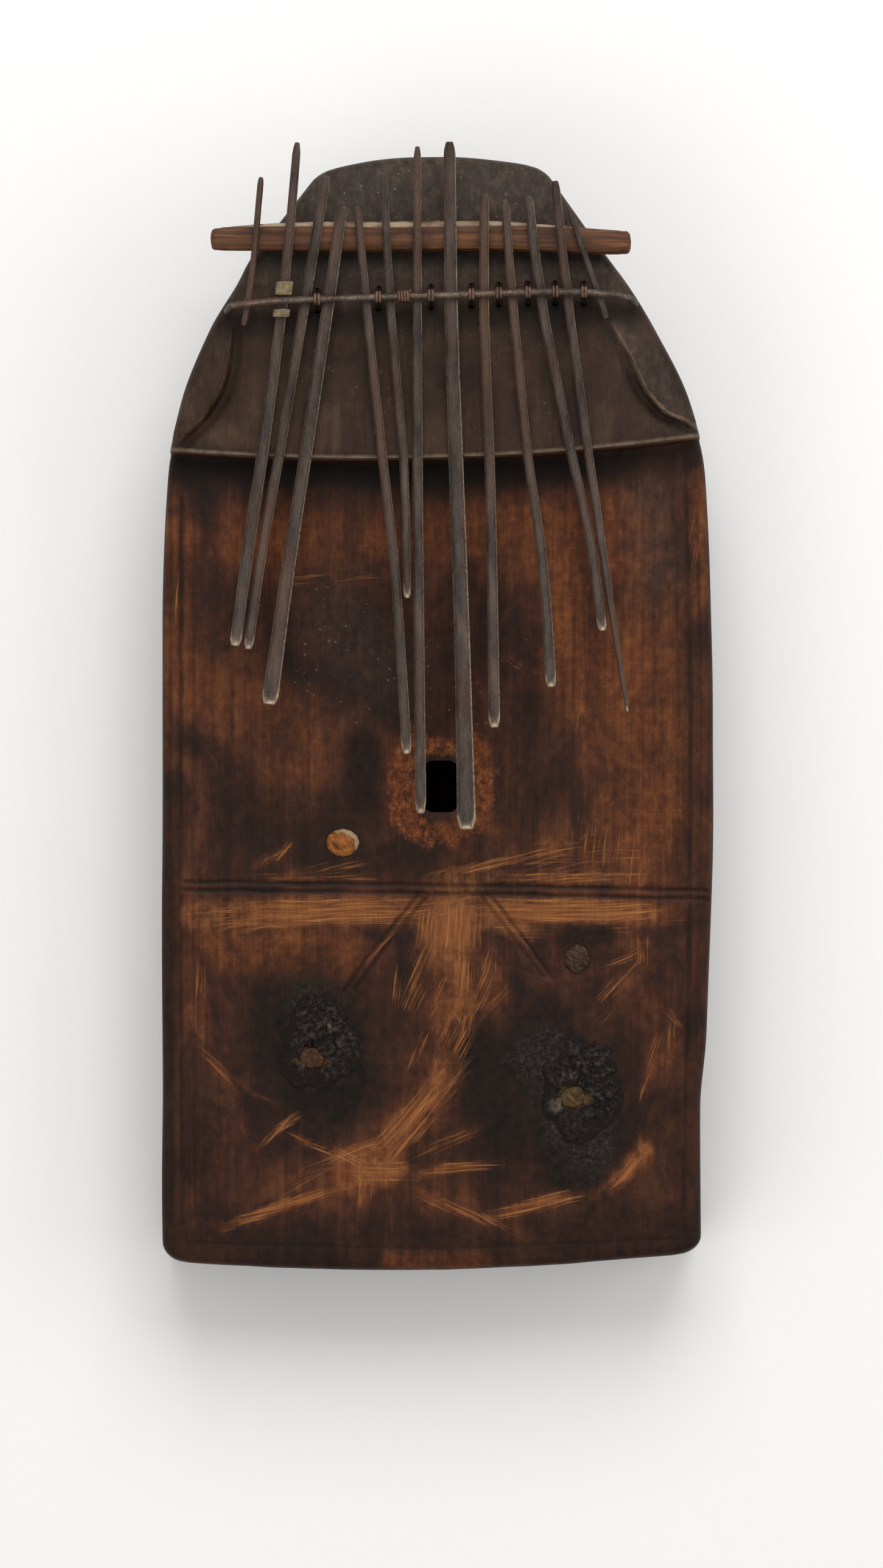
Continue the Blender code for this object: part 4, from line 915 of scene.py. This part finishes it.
def forge(bm, tip, reach):  # hammered faces, a wandering outline, a dished tip, and its polish
    refine(bm, lambda places: np.where(np.abs(places[:, 1] - tip) < forging["tipNear"], forging["tipEdge"],
                                       forging["edge"]))
    softenEdges(bm, 30, 1)
    places, normals = readMesh(bm)[:2]
    x, y, _ = places.T
    up, toTip = normals[:, 2], np.abs(y - tip)
    dents = forging["hammer"] * lumps(places, forging["hammerSize"])
    dents += forging["pit"] * lumps(places, forging["pitSize"])
    shift = normals * dents[:, None]
    shift[:, 0] += forging["wander"] * lumps(places * (0.05, 1, 0.05), forging["wanderSize"], x.mean())
    nearTip = ease(1 - toTip / reach)
    off, half = acrossStrip(x, y)
    sideways = np.abs(off) / half
    crown = forging["crown"] * ease((np.abs(y - forging["plainAt"]) - forging["plainReach"]) / 6)
    shift[:, 2] += crown * (1 - (off / half) ** 2) * ease((up - 0.2) / 0.4)
    rim = ease((np.maximum(sideways, 1 - toTip / (0.5 * reach)) - 0.45) / 0.4)
    shift[:, 2] -= forging["dish"] * nearTip * (up > 0.6) * (1 - rim)
    moveVerts(bm, shift)
    # pale edges, brighter on the right edge of each tine than on the left: partly a painted highlight
    edges = ease((sideways - 0.7) / 0.25) * np.where(off > 0, 0.8, 0.35) * (up > -0.1)
    return {"polish": np.clip(edges + nearTip * (0.45 + 0.55 * rim), 0, 1)}


def makeTine(number):
    root, tongue = f"tine_{number}_root", f"tine_{number}_tongue"
    pivot = Vector(joints[f"tine_{number}_pluck"]["pos_m"])
    bm = copyNode(root, tongue)
    bm.normal_update()
    caps = [face for face in bm.faces
            if abs(face.normal.y) > 0.8 and abs(face.calc_center_median().y - pivot.y) < 0.7 * mm]
    bmesh.ops.delete(bm, geom=caps, context="FACES")
    bmesh.ops.bridge_loops(bm, edges=[edge for edge in bm.edges if edge.is_boundary])
    bmesh.ops.triangulate(bm, faces=[face for face in bm.faces if len(face.verts) > 3])
    bmesh.ops.recalc_face_normals(bm, faces=bm.faces)
    masks = forge(bm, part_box(tongue)[0][1] / mm, forging["tipReach"])
    piece = finishPiece(f"tine_{number}", bm, iron, [root, tongue], body=None, masks=masks)
    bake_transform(piece)


for number in range(2, 13):
    makeTine(f"{number:02d}")
for number in ("01", "13"):
    node = f"tine_{number}_stub"
    bm = copyNode(node)
    masks = forge(bm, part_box(node)[0][1] / mm, forging["stubReach"])
    masks["polish"] *= forging["stubPolish"]
    finishPiece(f"tine_{number}", bm, iron, [node], masks=masks)
print("tines forged")


# Backrest stick: whittled in long facets, pale along its top from wear and a painted highlight
whittling = {"edge": 1.6, "blunt": 0.3, "bluntReach": 3.0, "facet": 0.22, "facetSize": (17, 3.0, 3.0),
             "bow": 0.35, "bowSize": 31.0, "dent": 0.05, "highest": 0.12, "paleLineIn": 1.4, "paleLineBand": 1.0}


def bluntEnds(bm, places):  # fills out the stick's rounded ends, which were cut straight
    low, high = boxMm("backrest_stick")
    toEnd = np.minimum(places[:, 0] - low[0], high[0] - places[:, 0])
    grow = whittling["blunt"] * ease(1 - toEnd / whittling["bluntReach"])
    shift = np.zeros_like(places)
    for side in (places[:, 0] < 0, places[:, 0] >= 0):
        near = places[side & (toEnd < 6)]
        middle = (near.max(axis=0) + near.min(axis=0)) / 2
        shift[side, 1:] = ((places - middle) * grow[:, None])[side, 1:]
    moveVerts(bm, shift)


def makeStick():
    bm, places, _ = startPiece("backrest_stick", whittling["edge"], 25, 2)
    bluntEnds(bm, places)
    places, normals = readMesh(bm)[:2]
    depth = whittling["facet"] * lumps(places, whittling["facetSize"])
    depth += whittling["dent"] * lumps(places, 2.0, 4.0)
    shift = normals * np.minimum(depth, whittling["highest"])[:, None]
    shift[:, 1] += whittling["bow"] * lumps(places * (1, 0, 0), whittling["bowSize"])
    moveVerts(bm, shift)
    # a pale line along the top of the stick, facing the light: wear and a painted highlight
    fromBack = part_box("backrest_stick")[1][1] / mm - whittling["paleLineIn"] - places[:, 1]
    worn = ease(1 - fromBack / whittling["paleLineBand"]) * ease((normals[:, 2] - 0.05) / 0.4)
    finishPiece("backrestStick", bm, branchWood, ["backrest_stick"], masks={"worn": worn})


makeStick()


# Pressure bar: a hammered iron rod
rod = {"edge": 0.8, "dent": 0.13, "dentSize": (4.0, 2.0, 2.0), "polish": 0.6}


def makeBar():
    bm, places, normals = startPiece("pressure_bar", rod["edge"])
    dents = rod["dent"] * lumps(places, rod["dentSize"]) + 0.4 * rod["dent"] * lumps(places, 1.0, 2.0)
    moveVerts(bm, normals * dents[:, None])
    # paler on the upward faces of the bar: a painted highlight
    worn = rod["polish"] * ease((normals[:, 2] - 0.5) / 0.3) * (0.6 + 0.4 * lumps(places, 5.0, 8.0))
    finishPiece("pressureBar", bm, iron, ["pressure_bar"], masks={"polish": worn})


makeBar()


# Wire: lashings that go twice over the bar and through the wood, and a winding on the bar
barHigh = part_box("pressure_bar")[1][2] / mm - wire["barRadius"]
wireAway = wire["barRadius"] + wire["radius"] + wire["gap"]


def overBar(x, y, angle):  # place of a wire that lies on the bar
    return x, y + wireAway * math.cos(angle), barHigh + wireAway * math.sin(angle)


def wirePiece(name, points, closed, node):
    curve = bpy.data.curves.new(name, "CURVE")
    curve.dimensions, curve.bevel_depth, curve.bevel_resolution = "3D", wire["radius"] * mm, wire["sides"]
    curve.use_fill_caps = not closed
    curve.resolution_u = 5
    spline = curve.splines.new("NURBS")
    spline.points.add(len(points) - 1)
    for point, place in zip(spline.points, points):
        point.co = (*(Vector(place) * mm), 1.0)
    spline.use_cyclic_u, spline.use_endpoint_u, spline.order_u = closed, not closed, 3
    drawn = addObject(name + "Path", curve)
    bm = bakeShape(drawn)
    bpy.data.objects.remove(drawn, do_unlink=True)
    bpy.data.curves.remove(curve)
    bmesh.ops.remove_doubles(bm, verts=bm.verts, dist=wire["weld"] * mm)
    bmesh.ops.recalc_face_normals(bm, faces=bm.faces)
    places, normals = readMesh(bm)[:2]
    # paler where the wire lies on top of the bar: a painted highlight
    rubbed = ease((places[:, 2] - barHigh - 0.2 * wire["barRadius"]) / wire["barRadius"])
    rubbed *= normals[:, 2] > -0.2
    finishPiece(name, bm, copper, [node], masks={"polish": rubbed})


def makeLashing(number):
    node = f"wire_lashing_{number}"
    places = np.array([vert.co for vert in frame["nodes"][node].data.vertices]) / mm
    low, high = places.min(axis=0), places.max(axis=0)
    x, y = (high[0] + low[0]) / 2, (high[1] + low[1]) / 2
    reach = (high[1] - low[1]) / 2 - wire["radius"] - carving["wireIn"]
    tail, head = (places[np.sign(places[:, 1] - y) == side][:, 2].min() + wire["radius"] for side in (-1, 1))
    near, deep = (barHigh - drop for drop in wire["straight"])
    points = []
    for turn in (-1, 1):
        strand = x + turn * wire["spread"] * (1 if number % 2 else 0.9)
        points += [(strand, y - reach, z) for z in (tail + wire["turnUp"], deep, near)]
        points += [overBar(strand, y, math.radians(degrees)) for degrees in wire["bends"]]
        points += [(strand, y + reach, z) for z in (near, deep, head + wire["turnUp"])]
        points += [(strand, y + 0.8 * reach, head), (x, y, (head + tail) / 2),
                   (x - turn * wire["spread"], y - 0.8 * reach, tail)]
    wirePiece(f"wireLashing{number}", points, True, node)


def makeWinding():
    low, high = boxMm("bar_winding")
    start, end, y = low[0] + wire["radius"], high[0] - wire["radius"], (low[1] + high[1]) / 2
    steps = round(wire["turns"] * wire["turnPoints"])
    points = []
    for step in range(steps + 1):
        angle = 2 * math.pi * step / wire["turnPoints"] + math.pi
        points.append(overBar(start + (end - start) * step / steps, y, angle))
    wirePiece("barWinding", points, False, "bar_winding")


for number in range(1, 9):
    makeLashing(number)
makeWinding()
print("bar, lashings and winding done")


# Brass clasps on the second tine
clasp = {"edge": 0.45, "dent": 0.07, "dentSize": 1.6}
for node, name in (("brass_sleeve", "brassSleeve"), ("brass_ring", "brassRing")):
    bm, places, normals = startPiece(node, clasp["edge"], 30, 1)
    moveVerts(bm, normals * (clasp["dent"] * lumps(places, clasp["dentSize"]))[:, None])
    # paler on upward faces: a painted highlight
    rubbed = ease((normals[:, 2] - 0.2) / 0.6)
    finishPiece(name, bm, brass, [node], masks={"polish": rubbed})
print("brass clasps done")


# Burnt resin round the buzzer holes: a crumbled crust that runs out into the wood, and a plug of soft wood
crust = {"edge": 0.5, "hiddenEdge": 2.0, "under": 44.35, "depth": 1.7, "rise": 1.3, "swell": 0.5,
         "swellSize": 5.2, "crumb": 0.95, "grit": 0.2, "warp": 0.9, "chip": (-4.9, -2.6), "chipReach": 2.9,
         "patch": (5.6, 4.2), "gaps": [(-34.0, -88.9), (-36.0, -90.4)], "gapReach": 0.9,
         "crinkleSide": (0.6, 0.8), "closeFrom": 7.2, "closeBy": 1.5}
plugTop = {"edge": 0.45, "hiddenEdge": 2.0, "above": 42.6, "wide": (1.25, 1.05), "lift": 0.3, "dome": 0.95,
           "dent": 0.4, "dentSize": 2.4}


def finerAbove(level, edge, hiddenEdge):  # small edges only where a piece shows
    return lambda places: np.where(places[:, 2] > level, edge, hiddenEdge)


def woodHeight(flat):  # height of the waved soundboard
    spread = np.column_stack([flat, np.full(len(flat), shape["soundboard"])])
    return shape["soundboard"] - crowned(flat[:, 0]) + woodWaves(spread)


def makeCrust(side, hole):
    node = f"wax_ring_{side}"
    bm, places, _ = startPiece(node, finerAbove(crust["under"], crust["edge"], crust["hiddenEdge"]))
    flat = places[:, :2]
    offHole = flat - hole
    away = farFrom(offHole)
    low, high = (np.array(corner)[:2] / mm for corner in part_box(node))
    outward = farFrom((2 * flat - low - high) / (high - low))
    ragged = outward + 0.26 * lumps(places, 6.0, 11.0) + 0.12 * lumps(places, 2.4, 12.0)
    top = ease((places[:, 2] - crust["under"]) / 0.5)
    standing = (1 - ease((ragged - 0.32) / 0.56)) * ease((away - 3.6) / 3.2)
    crinkled = ease(0.4 + offHole @ np.array(crust["crinkleSide"]) / 10)
    bent = places + crust["warp"] * np.column_stack([lumps(places, 3.0, seed) for seed in (21.0, 22.0, 23.0)])
    crumbs = 1.4 * np.abs(lumps(bent, 2.7, 7.0)) + np.abs(lumps(bent, 1.4, 8.0)) - 0.5
    rough = crust["swell"] * lumps(places, crust["swellSize"], 2.0) + (0.3 + crinkled) * crust["crumb"] * crumbs
    rough += crust["grit"] * lumps(places, 0.9, 4.0)
    # small holes in the crust: shallow dips, painted black as shade
    gap = sum(bell(farFrom(flat, spot) / crust["gapReach"]) for spot in crust["gaps"])
    height = standing * (crust["rise"] + rough) - 0.5 * ease((ragged - 0.7) / 0.3) - 0.8 * np.minimum(gap, 1)
    closing = crust["closeBy"] * (1 + 0.8 * lumps(places, 3.2, 15.0)) * ease((crust["closeFrom"] - away) / 2.0)
    shift = np.zeros_like(places)
    shift[:, :2] = -offHole / away[:, None] * closing[:, None]
    shift[:, 2] = woodHeight(flat) + top * height - (1 - top) * crust["depth"] - places[:, 2]
    moveVerts(bm, shift)
    chip = bell(farFrom(offHole, crust["chip"]) / crust["chipReach"])
    patch = farFrom(offHole / np.array(crust["patch"])) + 0.35 * lumps(places, 2.6, 14.0)
    # the crumb mask is a painted highlight, stronger on the crinkled side towards the light
    masks = {"crumb": np.clip(crumbs, 0, 1) * crinkled, "thin": ease((ragged - 0.52) / 0.34), "chip": chip,
             "patch": ease((1.15 - patch) / 0.4), "gap": ease((gap - 0.3) / 0.3)}
    finishPiece(f"resinCrust_{side}", bm, resins[side], [node], masks=masks, sharp=75)


def makePlug(side, hole):
    node = f"buzzer_plug_{side}"
    bm, places, _ = startPiece(node, finerAbove(plugTop["above"], plugTop["edge"], plugTop["hiddenEdge"]))
    top = ease((places[:, 2] - plugTop["above"]) / 0.6)
    offHole = places[:, :2] - hole
    away = farFrom(offHole) / farFrom(offHole).max()
    shift = np.zeros_like(places)
    shift[:, :2] = offHole * (np.array(plugTop["wide"]) - 1) * top[:, None]
    dents = plugTop["dent"] * lumps(places, plugTop["dentSize"])
    shift[:, 2] = top * (plugTop["lift"] - plugTop["dome"] * away ** 2 + dents)
    moveVerts(bm, shift)
    finishPiece(f"buzzerPlug_{side}", bm, plugWoods[side], [node], masks={"worn": 0 * top})


for side, hole in zip(("left", "right"), carving["buzzerHoles"]):
    makeCrust(side, hole)
    makePlug(side, hole)
print("buzzer holes done")


# Repair pegs, cut off with a knife
peg = {"edge": 0.45, "hiddenEdge": 2.0, "fineAbove": 44.0, "headAbove": 44.2, "dome": 0.5, "dent": 0.16,
       "wide": {"upper": (1.14, 0.94), "lower": (0.95, 1.1)}, "lightSide": (0.75, 0.66),
       "rim": {"upper": 1.0, "lower": 0.35}}


def makePeg(side):
    node = f"repair_peg_{side}"
    bm, places, normals = startPiece(node, finerAbove(peg["fineAbove"], peg["edge"], peg["hiddenEdge"]), 30, 2)
    head = ease((places[:, 2] - peg["headAbove"]) / 0.3)
    off = places[:, :2] - places[:, :2].mean(axis=0)
    away = farFrom(off) / farFrom(off).max()
    shift = normals * (head * peg["dent"] * lumps(places, 1.8))[:, None]
    shift[:, :2] += off * (np.array(peg["wide"][side]) - 1) * head[:, None]
    shift[:, 2] -= peg["dome"] * head * away ** 2
    moveVerts(bm, shift)
    # the pale rim is strongest on the side towards the light: a painted highlight, with some wear
    towardLight = ease(0.3 + off @ np.array(peg["lightSide"]) / 3)
    rim = peg["rim"][side] * ease((away + 0.12 * lumps(places, 1.5, 6.0) - 0.6) / 0.2) * head * towardLight
    finishPiece(f"repairPeg_{side}", bm, pegWoods[side], [node], masks={"worn": rim})


for side in ("upper", "lower"):
    makePeg(side)

# End slat: sawn board
slat = {"edge": 4.0, "sawMark": 0.12, "sawSize": (30, 4, 1.6), "inset": 0.05}
bm, places, normals = startPiece("end_slat", slat["edge"], 30, 1)
moveVerts(bm, normals * (slat["sawMark"] * lumps(places, slat["sawSize"]) - slat["inset"])[:, None])
finishPiece("endSlat", bm, slatWood, ["end_slat"], masks={"worn": 0.0 * places[:, 0]})
print("pegs and slat done")


# Studio: pale floor, soft lamps, and a camera that looks straight down on the soundboard
studio = {"floorSize": 4.0, "floorDrop": 0.02, "worldTone": "#ffffff", "worldStrength": 0.5,
          "lamps": [("keyLamp", (0.1, 1.0, 1.3), 1.1, 15.5), ("fillLamp", (-0.9, -0.6, 1.2), 1.1, 4.5),
                    ("sideLamp", (1.0, 0.1, 0.8), 0.8, 3.0)],
          "target": (0.0, -0.01, 0.03)}
view = {"centre": (1.25, -19.25), "plane": 44.0, "away": 2.2, "frameHeight": 429.3, "sensor": 36.0}


def makeStudio():
    scene = bpy.context.scene
    bm = bmesh.new()
    bmesh.ops.create_grid(bm, x_segments=8, y_segments=8, size=studio["floorSize"] / 2)
    bmesh.ops.translate(bm, verts=bm.verts, vec=(0, 0, -studio["floorDrop"] * mm))
    floor = addObject("floor", toMesh("floor", bm))
    floor.data.materials.append(paleBoard())

    scene.world = bpy.data.worlds.new("studio")
    scene.world.use_nodes = True
    tree = scene.world.node_tree
    light = {"Color": studio["worldTone"], "Strength": studio["worldStrength"]}
    setInputs(tree, tree.nodes["Background"], light)

    for name, place, size, power in studio["lamps"]:
        lamp = bpy.data.lights.new(name, "AREA")
        lamp.size, lamp.energy = size, power
        holder = addObject(name, lamp)
        holder.location = place
        holder.rotation_euler = (Vector(studio["target"]) - Vector(place)).to_track_quat("-Z", "Y").to_euler()

    camera = bpy.data.cameras.new("camera")
    camera.sensor_width = view["sensor"]
    camera.lens = view["away"] * view["sensor"] / (view["frameHeight"] * mm)
    scene.camera = addObject("camera", camera)
    scene.camera.location = (view["centre"][0] * mm, view["centre"][1] * mm, view["plane"] * mm + view["away"])
    scene.view_settings.view_transform = "Standard"


makeStudio()
print("studio ready")
